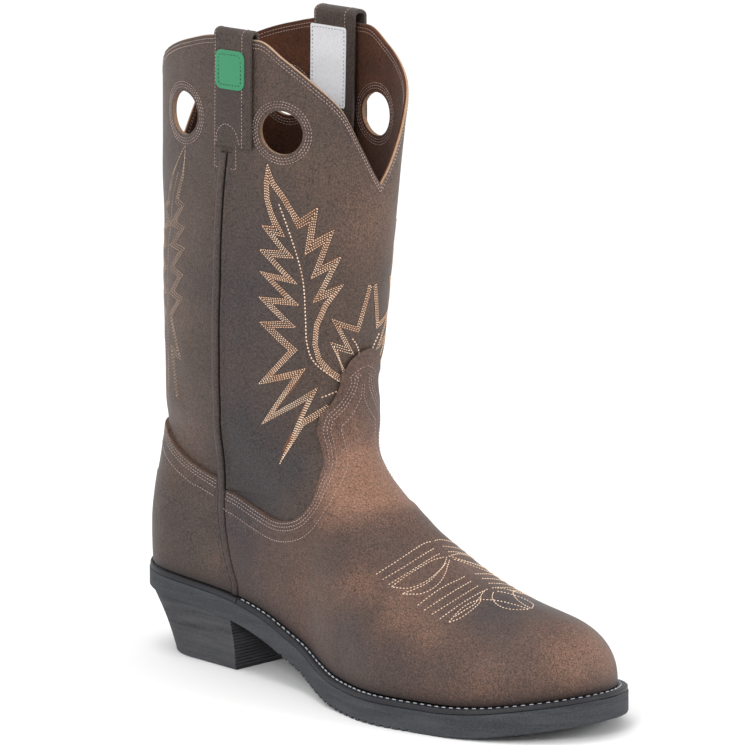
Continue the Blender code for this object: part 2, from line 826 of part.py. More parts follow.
def main():
    rubber = material("sole_rubber", (0.075, 0.080, 0.090), 0.75)
    heel_rubber = material("heel_rubber", (0.070, 0.073, 0.080), 0.78)
    welt_black = material("welt_black", (0.012, 0.012, 0.013), 0.6)
    board = material("insole_board", (0.130, 0.065, 0.035), 0.9)
    leather = material("upper_leather", (0.085, 0.055, 0.042), 0.62)
    vamp_leather = material("vamp_leather", (0.130, 0.075, 0.055), 0.6)
    strap_leather = material("strap_leather", (0.055, 0.035, 0.028), 0.65)

    build_outsole(rubber)
    build_heel(heel_rubber)
    build_band("welt", welt_black, True)
    build_band("heel_seat_rand", welt_black, False)
    build_insole(board)

    grid = fine_grid()
    normals = normals_of(grid)
    build_upper(grid, normals, leather)

    vamp_columns = ring_columns(BACK_COLUMNS + 1, ALL_COLUMNS - BACK_COLUMNS - 1)
    vamp_area = panel_area(VAMP_EDGE, VAMP_REST)
    build_overlay("vamp", grid, normals, vamp_columns, vamp_area, vamp_leather)
    counter_columns = ring_columns(-BACK_COLUMNS, BACK_COLUMNS)
    counter_area = panel_area(COUNTER_EDGE, COUNTER_REST)
    build_overlay("heel_counter", grid, normals, counter_columns, counter_area, vamp_leather)
    for side, where in ((-1, "outer"), (1, "inner")):
        build_seam(f"side_seam_{where}", grid, normals, side, strap_leather)
    for row in STRAPS:
        build_strap(*row, strap_leather)


main()
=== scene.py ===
import math

import bpy
import numpy as np
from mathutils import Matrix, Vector
from mathutils.bvhtree import BVHTree
from mathutils.geometry import barycentric_transform


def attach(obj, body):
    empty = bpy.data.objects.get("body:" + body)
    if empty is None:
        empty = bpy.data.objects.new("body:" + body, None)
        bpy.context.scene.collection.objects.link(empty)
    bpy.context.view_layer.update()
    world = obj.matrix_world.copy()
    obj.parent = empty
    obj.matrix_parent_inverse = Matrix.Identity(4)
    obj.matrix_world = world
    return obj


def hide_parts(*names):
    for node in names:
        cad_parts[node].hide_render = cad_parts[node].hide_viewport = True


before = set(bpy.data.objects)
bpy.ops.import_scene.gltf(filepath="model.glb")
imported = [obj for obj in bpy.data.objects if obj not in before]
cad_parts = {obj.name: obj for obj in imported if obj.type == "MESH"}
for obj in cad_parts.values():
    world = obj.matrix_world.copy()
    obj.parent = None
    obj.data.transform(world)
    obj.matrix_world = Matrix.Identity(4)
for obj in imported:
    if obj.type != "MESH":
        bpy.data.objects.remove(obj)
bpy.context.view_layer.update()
bpy.ops.object.select_all(action="DESELECT")

# Camera. It stands a little above the boot, in front of its outer side, and far enough away
# for the long lens of a catalogue picture.
PICTURE_SIDE = 745
SENSOR_WIDTH = 36.0
FOCAL_PIXELS = 6421.8
CAMERA_PLACE = Vector((2.26408, -2.26542, 0.84587))
CAMERA_TARGET = Vector((-0.01838, 0.01704, 0.15976))

bpy.ops.object.camera_add(location=CAMERA_PLACE)
camera = bpy.context.object
camera.name = "photo_camera"
camera.data.sensor_width = SENSOR_WIDTH
camera.data.lens = FOCAL_PIXELS / PICTURE_SIDE * SENSOR_WIDTH
camera.data.clip_end = 100
camera.rotation_euler = (CAMERA_TARGET - CAMERA_PLACE).to_track_quat("-Z", "Y").to_euler()
bpy.context.scene.camera = camera
bpy.context.view_layer.update()
CAMERA_TURN = camera.matrix_world.to_3x3().copy()


def sight(across, down):
    """The direction in which the camera sees a place of the picture."""
    step = Vector((across - PICTURE_SIDE / 2, PICTURE_SIDE / 2 - down, -FOCAL_PIXELS))
    return (CAMERA_TURN @ step).normalized()


# Floor and light. A pale studio floor and wide soft lamps, with the light of a white room from all round.
FLOOR_SIZE = 60.0
FLOOR_COLOUR = (0.93, 0.93, 0.93, 1)
ROOM_LIGHT = 0.95
LAMPS = (
    # name, place, what it looks at, size, power
    ("lamp_front_left", (1.2, -2.8, 2.0), (0.0, 0.0, 0.15), 1.2, 40),
    ("lamp_right", (3.0, 1.4, 1.5), (0.05, 0.0, 0.10), 1.2, 34),
    ("lamp_above", (-0.4, -0.4, 2.8), (0.0, 0.0, 0.20), 1.6, 18),
)

bpy.ops.mesh.primitive_plane_add(size=FLOOR_SIZE)
floor = bpy.context.object
floor.name = "studio_floor"
floor_paint = bpy.data.materials.new("studio_floor_paint")
floor_paint.use_nodes = True
floor_shader = floor_paint.node_tree.nodes["Principled BSDF"]
floor_shader.inputs["Base Color"].default_value = FLOOR_COLOUR
floor_shader.inputs["Roughness"].default_value = 0.95
floor_shader.inputs["Specular IOR Level"].default_value = 0.1
floor.data.materials.append(floor_paint)
for name, place, target, size, power in LAMPS:
    bpy.ops.object.light_add(type="AREA", location=place)
    lamp = bpy.context.object
    lamp.name = name
    lamp.data.shape = "DISK"
    lamp.data.size = size
    lamp.data.energy = power
    lamp.rotation_euler = (Vector(target) - Vector(place)).to_track_quat("-Z", "Y").to_euler()
room = bpy.data.worlds.new("white_room")
room.use_nodes = True
room.node_tree.nodes["Background"].inputs["Color"].default_value = (1, 1, 1, 1)
room.node_tree.nodes["Background"].inputs["Strength"].default_value = ROOM_LIGHT
bpy.context.scene.world = room
bpy.context.scene.view_settings.view_transform = "Standard"

# The last. The boot is made round a wooden last, so every piece of leather and rubber takes its shape
# from it: the outline of the sole, the heel's rise, the toe spring and the sections of foot and leg.
# Lengths run from the sole's back, widths from the line of the heel, and heights from the floor.
SOLE_LENGTH = 0.311
BALL_WIDTH = 0.110
LEG_HEIGHT = 0.3345
SOLE_MIDDLE = np.array([0.1555, -0.003, 0.0])
WALL = 0.0022
WELT_THICK = 0.0026
STAND = 0.0008
PLAN = (
    # share of the length, half width and shift to the inner side as shares of the ball width
    (0.00, 0.325, 0.000),
    (0.12, 0.330, 0.000),
    (0.26, 0.300, -0.015),
    (0.42, 0.310, -0.040),
    (0.56, 0.420, -0.060),
    (0.68, 0.490, -0.045),
    (0.80, 0.475, 0.005),
    (0.90, 0.435, 0.045),
    (1.00, 0.385, 0.075),
)
HEEL_ROUND = 0.115
TOE_ROUND = 0.200
TOE_POWER_ALONG = 2.3
TOE_POWER_ACROSS = 1.95
SOLE = (
    # share of the length, height of the underside, thickness of the edge
    (0.00, 0.0345, 0.0100),
    (0.12, 0.0320, 0.0100),
    (0.27, 0.0265, 0.0105),
    (0.34, 0.0215, 0.0110),
    (0.42, 0.0125, 0.0115),
    (0.50, 0.0045, 0.0120),
    (0.58, 0.0006, 0.0120),
    (0.64, 0.0000, 0.0120),
    (0.78, 0.0000, 0.0120),
    (0.85, 0.0013, 0.0120),
    (0.92, 0.0045, 0.0120),
    (1.00, 0.0095, 0.0115),
)
FEATHER_INSET = (
    # share of the length, how far the upper's foot lies inside the sole's edge
    (0.00, 0.0040),
    (0.20, 0.0042),
    (0.33, 0.0058),
    (0.60, 0.0070),
    (1.00, 0.0074),
)
RIDGE = (
    # share of the length, height of the foot's ridge
    (0.40, 0.1750),
    (0.45, 0.1400),
    (0.50, 0.1175),
    (0.56, 0.0990),
    (0.64, 0.0810),
    (0.72, 0.0680),
    (0.80, 0.0595),
    (0.88, 0.0550),
    (0.94, 0.0522),
    (1.00, 0.0492),
)
TOE_INSET = 0.0074
TOE_CAP = 0.036
TOE_CAP_POWER_ALONG = 2.6
TOE_CAP_POWER_UP = 2.1
DOME = (
    # share of the length, power up, power across
    (0.30, 2.2, 2.0),
    (0.60, 2.1, 1.8),
    (0.80, 2.4, 1.9),
    (1.00, 2.8, 2.0),
)
SIDE_BULGE = 0.035
RIDGE_LEAN = 0.4
BACK = (
    # height, distance from the sole's back
    (0.040, 0.0042),
    (0.055, 0.0028),
    (0.070, 0.0030),
    (0.085, 0.0055),
    (0.100, 0.0090),
    (0.115, 0.0108),
    (0.130, 0.0115),
)
LEG = (
    # height, back, front, half width, power of the oval on the outer and on the inner side
    (0.100, 0.0095, 0.1500, 0.0365, 2.2, 2.2),
    (0.130, 0.0115, 0.1410, 0.0380, 2.2, 2.2),
    (0.200, 0.0105, 0.1500, 0.0410, 2.2, 2.2),
    (0.260, 0.0100, 0.1570, 0.0410, 2.2, 2.3),
    (0.340, 0.0095, 0.1640, 0.0400, 2.2, 3.0),
)
FOOT_LOW = 0.052
FOOT_TOP = 0.095
RISE_EVEN = 0.35
LEG_FROM = 0.085
LEG_FULL = 0.135
LEG_START = 0.158
COLLAR = (
    # share of the way from the back to the front, share of the leg's height
    (0.00, 0.800),
    (0.02, 0.822),
    (0.05, 0.862),
    (0.09, 0.905),
    (0.13, 0.932),
    (0.20, 0.960),
    (0.32, 0.985),
    (0.45, 1.000),
    (0.60, 1.000),
    (0.69, 0.975),
    (0.78, 0.943),
    (0.86, 0.906),
    (0.92, 0.853),
    (0.97, 0.806),
    (1.00, 0.783),
)
SEAM = (
    # height, distance of the side seam from the sole's back
    (0.045, 0.0820),
    (0.060, 0.0765),
    (0.090, 0.0715),
    (0.130, 0.0765),
    (0.210, 0.0805),
    (0.250, 0.0830),
    (0.290, 0.0880),
    (0.340, 0.0910),
)
SEAM_WIDTH = 0.0052
FOOT_PART = 0.423
ANKLE_PART = 0.654
BACK_COLUMNS = 16
FRONT_COLUMNS = 56
FRONT_CROWDING = 1.3
SKIN_RINGS = 156
SLICE_POINTS = 300
HALF_COLUMNS = BACK_COLUMNS + 1 + FRONT_COLUMNS
ALL_COLUMNS = 2 * HALF_COLUMNS
CREASES = (
    # x and height of a fold's middle, its slope in degrees, half length, half width, depth
    (0.134, 0.118, -28, 0.024, 0.0060, 0.0011),
    (0.128, 0.104, -34, 0.020, 0.0050, 0.0007),
    (0.030, 0.124, 16, 0.026, 0.0070, 0.0008),
    (0.060, 0.140, -8, 0.022, 0.0090, 0.0006),
    (0.176, 0.078, -62, 0.016, 0.0045, 0.0005),
    (0.188, 0.072, -64, 0.018, 0.0045, 0.0005),
    (0.110, 0.205, 6, 0.026, 0.0130, 0.0008),
    (0.040, 0.230, -5, 0.024, 0.0140, 0.0008),
    (0.130, 0.160, -15, 0.020, 0.0090, 0.0007),
)


def smooth(rows, column, x):
    """Reads a column of a table at x with a soft curve that never overshoots its rows."""
    xs = np.array([row[0] for row in rows], float)
    ys = np.array([row[column] for row in rows], float)
    steps = np.diff(ys) / np.diff(xs)
    slopes = np.empty_like(ys)
    slopes[0] = steps[0]
    slopes[-1] = steps[-1]
    for i in range(1, len(steps)):
        product = steps[i - 1] * steps[i]
        slopes[i] = 2 * product / (steps[i - 1] + steps[i]) if product > 0 else 0.0
    x = np.clip(np.asarray(x, float), xs[0], xs[-1])
    i = np.clip(np.searchsorted(xs, x, side="right") - 1, 0, len(xs) - 2)
    width = xs[i + 1] - xs[i]
    t = (x - xs[i]) / width
    low = (2 * t**3 - 3 * t**2 + 1) * ys[i] + (t**3 - 2 * t**2 + t) * width * slopes[i]
    high = (3 * t**2 - 2 * t**3) * ys[i + 1] + (t**3 - t**2) * width * slopes[i + 1]
    return low + high


def share(x):
    return np.asarray(x, float) / SOLE_LENGTH


def sole_under(x):
    return smooth(SOLE, 1, share(x))


def sole_top(x):
    return sole_under(x) + smooth(SOLE, 2, share(x))


def feather_height(x):
    """Height of the line where the upper stands on the welt."""
    return sole_top(x) + WELT_THICK + STAND


def feather_inset(x):
    return smooth(FEATHER_INSET, 1, share(x))


def toe_round(x, end):
    nose = np.clip(1 - (end - x) / (TOE_ROUND * SOLE_LENGTH - (SOLE_LENGTH - end)), 0, 1)
    return (1 - nose**TOE_POWER_ALONG) ** (1 / TOE_POWER_ACROSS)


def heel_round(x, start):
    tail = np.clip(1 - (x - start) / (HEEL_ROUND * SOLE_LENGTH - start), 0, 1)
    return np.sqrt(1 - tail**2)


def centre(x):
    return smooth(PLAN, 2, share(x)) * BALL_WIDTH


def ridge_height(x):
    low = feather_height(x)
    nose = np.clip(1 - (SOLE_LENGTH - TOE_INSET - x) / TOE_CAP, 0, 1)
    cap = (1 - nose**TOE_CAP_POWER_ALONG) ** (1 / TOE_CAP_POWER_UP)
    return low + (smooth(RIDGE, 1, share(x)) - low) * cap


def foot_slice(rise, height):
    """Outer and inner side of a line round the foot. Rise 0 is the feather line and rise 1 is level."""

    def level(x):
        low = feather_height(x)
        return low + (height - low) * rise

    toe = SOLE_LENGTH - TOE_INSET
    along = np.linspace(SOLE_LENGTH / 4, toe, 1600)
    spare = ridge_height(along) - level(along)
    last = int(np.nonzero(spare >= -1e-9)[0].max())
    front = along[last]
    if last < len(along) - 1:
        step = spare[last] / (spare[last] - spare[last + 1])
        front = front + (along[last + 1] - front) * step
    back = float(smooth(BACK, 1, float(level(0.0))))
    x = back + (front - back) * (1 - np.cos(np.linspace(0, math.pi, SLICE_POINTS))) / 2
    low = feather_height(x)
    z = level(x)
    tau = np.clip((z - low) / np.maximum(ridge_height(x) - low, 1e-6), 0, 1)
    power_up = smooth(DOME, 1, share(x))
    power_across = smooth(DOME, 2, share(x))
    dome = (1 - tau**power_up) ** (1 / power_across) * (1 + 4 * SIDE_BULGE * tau * (1 - tau))
    full = smooth(PLAN, 1, share(x)) * BALL_WIDTH - feather_inset(x)
    half = full * heel_round(x, back) * toe_round(x, toe) * dome
    middle = centre(x) * (1 - RIDGE_LEAN * tau)
    return np.stack([x, middle - half, z], 1), np.stack([x, middle + half, z], 1)


def leg_slice(height):
    """Outer and inner side of a level section of the leg."""
    back, front, half = [float(smooth(LEG, i, height)) for i in (1, 2, 3)]
    turn = np.linspace(0, math.pi, SLICE_POINTS)
    middle = (back + front) / 2
    reach = (front - back) / 2
    sides = []
    for column, side in ((4, -1), (5, 1)):
        power = float(smooth(LEG, column, height))
        x = middle - reach * np.sign(np.cos(turn)) * np.abs(np.cos(turn)) ** (2 / power)
        y = side * half * np.abs(np.sin(turn)) ** (2 / power)
        sides.append(np.stack([x, y, np.full(SLICE_POINTS, height)], 1))
    return sides


def lengths(line):
    steps = np.linalg.norm(np.diff(line, axis=0), axis=1)
    return np.concatenate([[0], np.cumsum(steps)])


def at_lengths(line, where):
    along = lengths(line)
    return np.stack([np.interp(where, along, line[:, i]) for i in range(3)], 1)


def column_lengths(line):
    """Places of the columns along one side of a ring. Two of them lie on the edges of the side seam."""
    along = lengths(line)
    target = float(smooth(SEAM, 1, float(np.interp(0.3, along / along[-1], line[:, 2]))))
    seam = float(np.interp(target, line[:, 0], along))
    after = seam + SEAM_WIDTH / 2
    t = np.arange(1, FRONT_COLUMNS + 1) / FRONT_COLUMNS
    t = 1 - (1 - t) ** FRONT_CROWDING
    back = np.linspace(0, seam - SEAM_WIDTH / 2, BACK_COLUMNS + 1)
    return np.concatenate([back, [after], after + (along[-1] - after) * t])


def ring(v):
    """All points at level v: the outer side from back to front, then the inner side from front to back."""
    sides = []
    if v <= ANKLE_PART:
        t = min(1.0, v / FOOT_PART)
        rise = RISE_EVEN * t + (1 - RISE_EVEN) * (1 - (1 - t) ** 2)
        height = FOOT_LOW + (FOOT_TOP - FOOT_LOW) * rise
        if v > FOOT_PART:
            height = FOOT_TOP + (LEG_START - FOOT_TOP) * (v - FOOT_PART) / (ANKLE_PART - FOOT_PART)
        mix = 0.0
        if rise >= 1.0:
            mix = min(1.0, max(0.0, (height - LEG_FROM) / (LEG_FULL - LEG_FROM)))
            mix = mix * mix * (3 - 2 * mix)
        feet = foot_slice(rise, min(height, LEG_FULL))
        legs = leg_slice(height)
        for foot, leg in zip(feet, legs):
            foot_points = at_lengths(foot, column_lengths(foot))
            leg_points = at_lengths(leg, column_lengths(leg))
            sides.append(foot_points * (1 - mix) + leg_points * mix)
    else:
        t = (v - ANKLE_PART) / (1 - ANKLE_PART)
        base = leg_slice(LEG_START)[0]
        way = column_lengths(base) / lengths(base)[-1]
        heights = LEG_START + (smooth(COLLAR, 1, way) * LEG_HEIGHT - LEG_START) * t
        for side in (0, 1):
            points = []
            for column, height in enumerate(heights):
                line = leg_slice(float(height))[side]
                points.append(at_lengths(line, column_lengths(line)[column : column + 1])[0])
            sides.append(np.array(points))
    outer, inner = sides
    outer = outer.copy()
    middle = (outer[0] + inner[0]) / 2, (outer[-1] + inner[-1]) / 2
    outer[0], outer[-1] = middle
    return np.concatenate([outer, inner[1:-1][::-1]]) - SOLE_MIDDLE


def outward(grid):
    """Outward unit directions of a grid of closed rings."""
    around = np.roll(grid, -1, axis=1) - np.roll(grid, 1, axis=1)
    up = np.gradient(grid, axis=0)
    normal = np.cross(around, up)
    return normal / np.linalg.norm(normal, axis=2, keepdims=True)


def crease_depth(points):
    """How far the folds push the skin in, at an array of points."""
    x = points[..., 0] + SOLE_MIDDLE[0]
    z = points[..., 2]
    depth = np.zeros(x.shape)
    for middle_x, middle_z, slope, half_length, half_width, deep in CREASES:
        turn = math.radians(slope)
        along = (x - middle_x) * math.cos(turn) + (z - middle_z) * math.sin(turn)
        across = (z - middle_z) * math.cos(turn) - (x - middle_x) * math.sin(turn)
        reach = np.exp(-((along / half_length) ** 4))
        trough = np.exp(-((across / half_width) ** 2))
        ridge = np.exp(-(((across - 1.9 * half_width) / half_width) ** 2))
        depth += deep * reach * (trough - 0.55 * ridge)
    return depth


skin = np.array([ring(v) for v in np.linspace(0, 1, SKIN_RINGS)])
skin_out = outward(skin)
skin = skin - skin_out * crease_depth(skin)[..., None]
skin_out = outward(skin)
skin_out[0, :, 2] = 0.0
skin_out[0] /= np.linalg.norm(skin_out[0], axis=1, keepdims=True)
skin_triangles = []
for row in range(SKIN_RINGS - 1):
    for column in range(ALL_COLUMNS):
        beside = (column + 1) % ALL_COLUMNS
        here, next_one = row * ALL_COLUMNS + column, row * ALL_COLUMNS + beside
        skin_triangles.append((here, next_one, here + ALL_COLUMNS))
        skin_triangles.append((here + ALL_COLUMNS, next_one, next_one + ALL_COLUMNS))
skin_points = [Vector(p) for p in skin.reshape(-1, 3)]
skin_tree = BVHTree.FromPolygons(skin_points, skin_triangles)


def place_of(number, point):
    """Column and row of a point of the skin, of which the triangle is known."""
    row, rest = divmod(number, 2 * ALL_COLUMNS)
    column, second = divmod(rest, 2)
    corners = [skin_points[i] for i in skin_triangles[number]]
    low = [Vector((column, row, 0)), Vector((column + 1, row, 0)), Vector((column, row + 1, 0))]
    high = [Vector((column, row + 1, 0)), Vector((column + 1, row, 0)), Vector((column + 1, row + 1, 0))]
    flat = barycentric_transform(point, *corners, *(high if second else low))
    return flat[0], flat[1]


def seen_places(picture_points):
    """Places on the skin that the camera sees at points of the picture."""
    places = []
    for across, down in picture_points:
        heading = sight(across, down)
        point, _, number, _ = skin_tree.ray_cast(CAMERA_PLACE, heading)
        if point is None:
            away = (CAMERA_TARGET - CAMERA_PLACE).length
            point, _, number, _ = skin_tree.find_nearest(CAMERA_PLACE + heading * away)
        places.append(place_of(number, point))
    return places


def nearest_places(points):
    places = []
    for point in points:
        spot, _, number, _ = skin_tree.find_nearest(Vector(point))
        places.append(place_of(number, spot))
    return places


def side_places(points):
    """Places on the outer side of the skin at points of the side view, x and height."""
    places = []
    for x, z in points:
        start = Vector((x - SOLE_MIDDLE[0], -0.3, z))
        point, _, number, _ = skin_tree.ray_cast(start, Vector((0, 1, 0)))
        if point is not None:
            places.append(place_of(number, point))
    return places


def on_skin(places, lift, grid=None):
    """Points over the skin at a height above it, and the way out at each."""
    places = np.asarray(places, float).reshape(-1, 2)
    column = np.floor(places[:, 0]).astype(int)
    row = np.clip(np.floor(places[:, 1]).astype(int), 0, SKIN_RINGS - 2)
    across = (places[:, 0] - column)[:, None]
    up = np.clip(places[:, 1] - row, 0, 1)[:, None]
    first, second = column % ALL_COLUMNS, (column + 1) % ALL_COLUMNS
    read = []
    for values in (skin, skin_out):
        low = values[row, first] * (1 - across) + values[row, second] * across
        high = values[row + 1, first] * (1 - across) + values[row + 1, second] * across
        read.append(low * (1 - up) + high * up)
    way_out = read[1] / np.linalg.norm(read[1], axis=1, keepdims=True)
    return read[0] + way_out * lift, way_out


def other_side(places):
    """The same places on the other side of the boot."""
    return [(2 * HALF_COLUMNS - column, row) for column, row in places]


# Leather. Oiled, pulled-up cowhide: a grain that goes cool and dark where it is pressed and tan where it is
# bent, waxed to a low gloss. The clouds are placed where the real hide shows them; most are the hide's own
# tone, and the light ones on the toe are painted highlight. Where the hide meets the welt it is darkened with
# painted shade.
CLOUDS = (
    # across and down in the picture, radius, tone from dark and cool to light and tan
    (355, 530, 0.016, -0.25),
    (376, 545, 0.012, -0.15),
    (348, 640, 0.018, -0.70),
    (392, 666, 0.013, -0.60),
    (438, 672, 0.010, -0.45),
    (491, 625, 0.014, -0.55),
    (522, 603, 0.010, -0.50),
    (242, 545, 0.016, -0.60),
    (252, 600, 0.014, -0.35),
    (330, 560, 0.014, -0.25),
    (372, 480, 0.018, 0.80),
    (345, 500, 0.016, 0.65),
    # the two light clouds on the toe are painted highlight
    (592, 646, 0.014, 0.25),
    (606, 664, 0.008, 0.35),
    (556, 664, 0.014, 0.00),
    (470, 664, 0.014, 0.20),
    (352, 592, 0.014, 0.50),
    (222, 556, 0.008, 0.60),
    (400, 610, 0.014, 0.35),
    (430, 640, 0.014, 0.30),
    (300, 560, 0.014, 0.05),
    (258, 485, 0.022, -0.70),
    (240, 455, 0.020, -0.55),
    (300, 470, 0.012, -0.60),
    (245, 250, 0.030, -0.45),
    (240, 330, 0.030, -0.35),
    (235, 395, 0.020, -0.30),
    (330, 190, 0.022, 0.25),
    (370, 230, 0.020, 0.35),
    (345, 320, 0.016, 0.15),
    (190, 230, 0.020, 0.35),
    (186, 330, 0.022, 0.30),
    (192, 440, 0.020, 0.40),
    (175, 180, 0.018, -0.25),
    (200, 290, 0.010, -0.30),
    (168, 520, 0.018, -0.35),
    (195, 540, 0.014, -0.10),
    (168, 440, 0.010, -0.50),
)
cloud_centres = []
for across, down, radius, tone in CLOUDS:
    here = seen_places([(across, down)])
    cloud_centres.append((on_skin(here, 0.0)[0][0], radius, tone))
    cloud_centres.append((on_skin(other_side(here), 0.0)[0][0], radius, tone * 0.9))


def hide_tone_and_painted_light(piece):
    """Writes how light and how dark the hide is at each point: its clouds, mostly the hide's own tone with
    painted highlight on the toe, and painted shade along the line over the welt.
    """
    count = len(piece.data.vertices)
    points = np.empty(count * 3)
    piece.data.vertices.foreach_get("co", points)
    points = points.reshape(-1, 3)
    tone = np.zeros(count)
    for middle, radius, amount in cloud_centres:
        away = ((points - middle) ** 2).sum(1)
        tone += amount * np.exp(-away / (1.6 * radius**2))
    # painted shade: the hide is darkened towards the line where it meets the welt
    low = points[:, 2] - feather_height(points[:, 0] + SOLE_MIDDLE[0])
    dark = np.exp(-np.clip(low, 0, 1) / 0.0042)
    for label, values in (("tone", tone), ("dark", dark)):
        layer = piece.data.attributes.new(label, "FLOAT", "POINT")
        layer.data.foreach_set("value", values.astype(np.float32))


def plain_material(name, colour, roughness):
    made = bpy.data.materials.new(name)
    made.use_nodes = True
    shader = made.node_tree.nodes["Principled BSDF"]
    shader.inputs["Base Color"].default_value = (*colour, 1)
    shader.inputs["Roughness"].default_value = roughness
    return made


def noise(tree, scale, detail, roughness=0.55, stretch=None):
    """A noise on the object's own coordinates."""
    place = tree.nodes.new("ShaderNodeTexCoord")
    texture = tree.nodes.new("ShaderNodeTexNoise")
    texture.inputs["Scale"].default_value = scale
    texture.inputs["Detail"].default_value = detail
    texture.inputs["Roughness"].default_value = roughness
    if stretch:
        mapping = tree.nodes.new("ShaderNodeMapping")
        mapping.inputs["Scale"].default_value = stretch
        tree.links.new(place.outputs["Object"], mapping.inputs["Vector"])
        tree.links.new(mapping.outputs["Vector"], texture.inputs["Vector"])
    else:
        tree.links.new(place.outputs["Object"], texture.inputs["Vector"])
    return texture.outputs["Fac"]


def arithmetic(tree, operation, first, second, clamp=False):
    node = tree.nodes.new("ShaderNodeMath")
    node.operation = operation
    node.use_clamp = clamp
    for socket, value in zip(node.inputs, (first, second)):
        if isinstance(value, (int, float)):
            socket.default_value = value
        else:
            tree.links.new(value, socket)
    return node.outputs[0]


def attribute(tree, name):
    node = tree.nodes.new("ShaderNodeAttribute")
    node.attribute_name = name
    return node.outputs["Fac"]


def ramp(tree, factor, stops):
    node = tree.nodes.new("ShaderNodeValToRGB")
    elements = node.color_ramp.elements
    while len(elements) < len(stops):
        elements.new(0.5)
    for element, (place, colour) in zip(elements, stops):
        element.position = place
        element.color = (*colour, 1)
    tree.links.new(factor, node.inputs["Fac"])
    return node.outputs["Color"]


def blend_colours(tree, kind, factor, first, second):
    node = tree.nodes.new("ShaderNodeMix")
    node.data_type = "RGBA"
    node.blend_type = kind
    for socket, value in ((node.inputs[0], factor), (node.inputs[6], first), (node.inputs[7], second)):
        if isinstance(value, (int, float)):
            socket.default_value = value
        elif isinstance(value, tuple):
            socket.default_value = (*value, 1)
        else:
            tree.links.new(value, socket)
    return node.outputs[2]


def bumps(tree, layers):
    """Bump nodes in a row, each from a height, a strength and a depth in metres."""
    last = None
    for height, strength, depth in layers:
        node = tree.nodes.new("ShaderNodeBump")
        node.inputs["Strength"].default_value = strength
        node.inputs["Distance"].default_value = depth
        tree.links.new(height, node.inputs["Height"])
        if last:
            tree.links.new(last, node.inputs["Normal"])
        last = node.outputs["Normal"]
    return last


def leather(name, cool, middle, warm, edge):
    """Pull-up leather between three tones, with painted shade where it meets the welt."""
    made = plain_material(name, middle, 0.6)
    tree = made.node_tree
    shader = tree.nodes["Principled BSDF"]
    drift = arithmetic(tree, "MULTIPLY", arithmetic(tree, "SUBTRACT", noise(tree, 34, 4), 0.5), 1.5)
    speckle = arithmetic(tree, "MULTIPLY", arithmetic(tree, "SUBTRACT", noise(tree, 520, 5, 0.7), 0.5), 1.15)
    level = arithmetic(tree, "MULTIPLY", attribute(tree, "tone"), 0.46)
    level = arithmetic(tree, "ADD", level, 0.5)
    level = arithmetic(tree, "ADD", level, arithmetic(tree, "MULTIPLY", drift, 0.30))
    level = arithmetic(tree, "ADD", level, arithmetic(tree, "MULTIPLY", speckle, 0.36), clamp=True)
    colour = ramp(tree, level, ((0.10, cool), (0.50, middle), (0.95, warm)))
    scuff = arithmetic(tree, "GREATER_THAN", noise(tree, 260, 6, 0.75), 0.70)
    colour = blend_colours(tree, "MIX", arithmetic(tree, "MULTIPLY", scuff, 0.35), colour, warm)
    pores = ramp(tree, noise(tree, 1250, 3, 0.7), ((0.34, (0.18, 0.18, 0.20)), (0.66, (1.0, 1.0, 1.0))))
    colour = blend_colours(tree, "MULTIPLY", 1.0, colour, pores)
    # painted shade in the groove where the hide meets the welt
    welt_painted_shade = arithmetic(tree, "MULTIPLY", attribute(tree, "dark"), 0.93)
    colour = blend_colours(tree, "MIX", welt_painted_shade, colour, edge)
    tree.links.new(colour, shader.inputs["Base Color"])
    gloss = arithmetic(tree, "ADD", arithmetic(tree, "MULTIPLY", noise(tree, 60, 5), 0.34), 0.42)
    tree.links.new(gloss, shader.inputs["Roughness"])
    shader.inputs["Specular IOR Level"].default_value = 0.34
    shader.inputs["Sheen Weight"].default_value = 0.06
    shader.inputs["Sheen Roughness"].default_value = 0.5
    grain = bumps(tree, ((noise(tree, 42, 3), 0.30, 0.0016), (noise(tree, 900, 6, 0.65), 0.45, 0.0004)))
    tree.links.new(grain, shader.inputs["Normal"])
    return made


def suede(name, dark, light):
    """The rough flesh side of the hide."""
    made = plain_material(name, dark, 0.95)
    tree = made.node_tree
    shader = tree.nodes["Principled BSDF"]
    nap = noise(tree, 900, 5, 0.8)
    fine = arithmetic(tree, "MULTIPLY", nap, 0.7)
    broad = arithmetic(tree, "MULTIPLY", noise(tree, 50, 4), 0.3)
    colour = ramp(tree, arithmetic(tree, "ADD", fine, broad), ((0.35, dark), (0.65, light)))
    tree.links.new(colour, shader.inputs["Base Color"])
    shader.inputs["Specular IOR Level"].default_value = 0.15
    shader.inputs["Sheen Weight"].default_value = 0.10
    tree.links.new(bumps(tree, ((nap, 0.6, 0.0006),)), shader.inputs["Normal"])
    return made


# The darkest tone given to each leather below is painted shade along the welt.
WELT_PAINTED_SHADE = (0.014, 0.009, 0.008)
LEG_TONES = ((0.056, 0.045, 0.046), (0.104, 0.067, 0.051), (0.200, 0.112, 0.074))
VAMP_TONES = ((0.068, 0.051, 0.051), (0.138, 0.078, 0.057), (0.360, 0.185, 0.117))
leg_leather = leather("leg_leather", *LEG_TONES, WELT_PAINTED_SHADE)
vamp_leather = leather("vamp_leather", *VAMP_TONES, (0.014, 0.009, 0.009))
flesh = suede("flesh_side", (0.016, 0.006, 0.003), (0.125, 0.044, 0.021))
raw_edge = suede("raw_edge", (0.300, 0.180, 0.110), (0.520, 0.350, 0.230))
hole_edge = suede("hole_edge", (0.120, 0.062, 0.036), (0.330, 0.200, 0.120))
dark_edge = suede("dark_edge", (0.060, 0.030, 0.020), (0.160, 0.080, 0.045))

# Shaft. One tube of heavy leather from the welt to the dipped collar, with the rough side in,
# a pale cut edge, and four pull holes punched through it. Seams and panels are laid over it.
HOLES = (
    # side, share of the length, share of the leg's height
    (-1, 0.3922, 0.8640),
    (-1, 0.1672, 0.8703),
    (1, 0.3810, 0.8655),
    (1, 0.1672, 0.8730),
)
HOLE_TALL = 0.0225
HOLE_LONG = 0.0250
HOLE_REACH = 0.024
RIM_ROUND = 0.0004


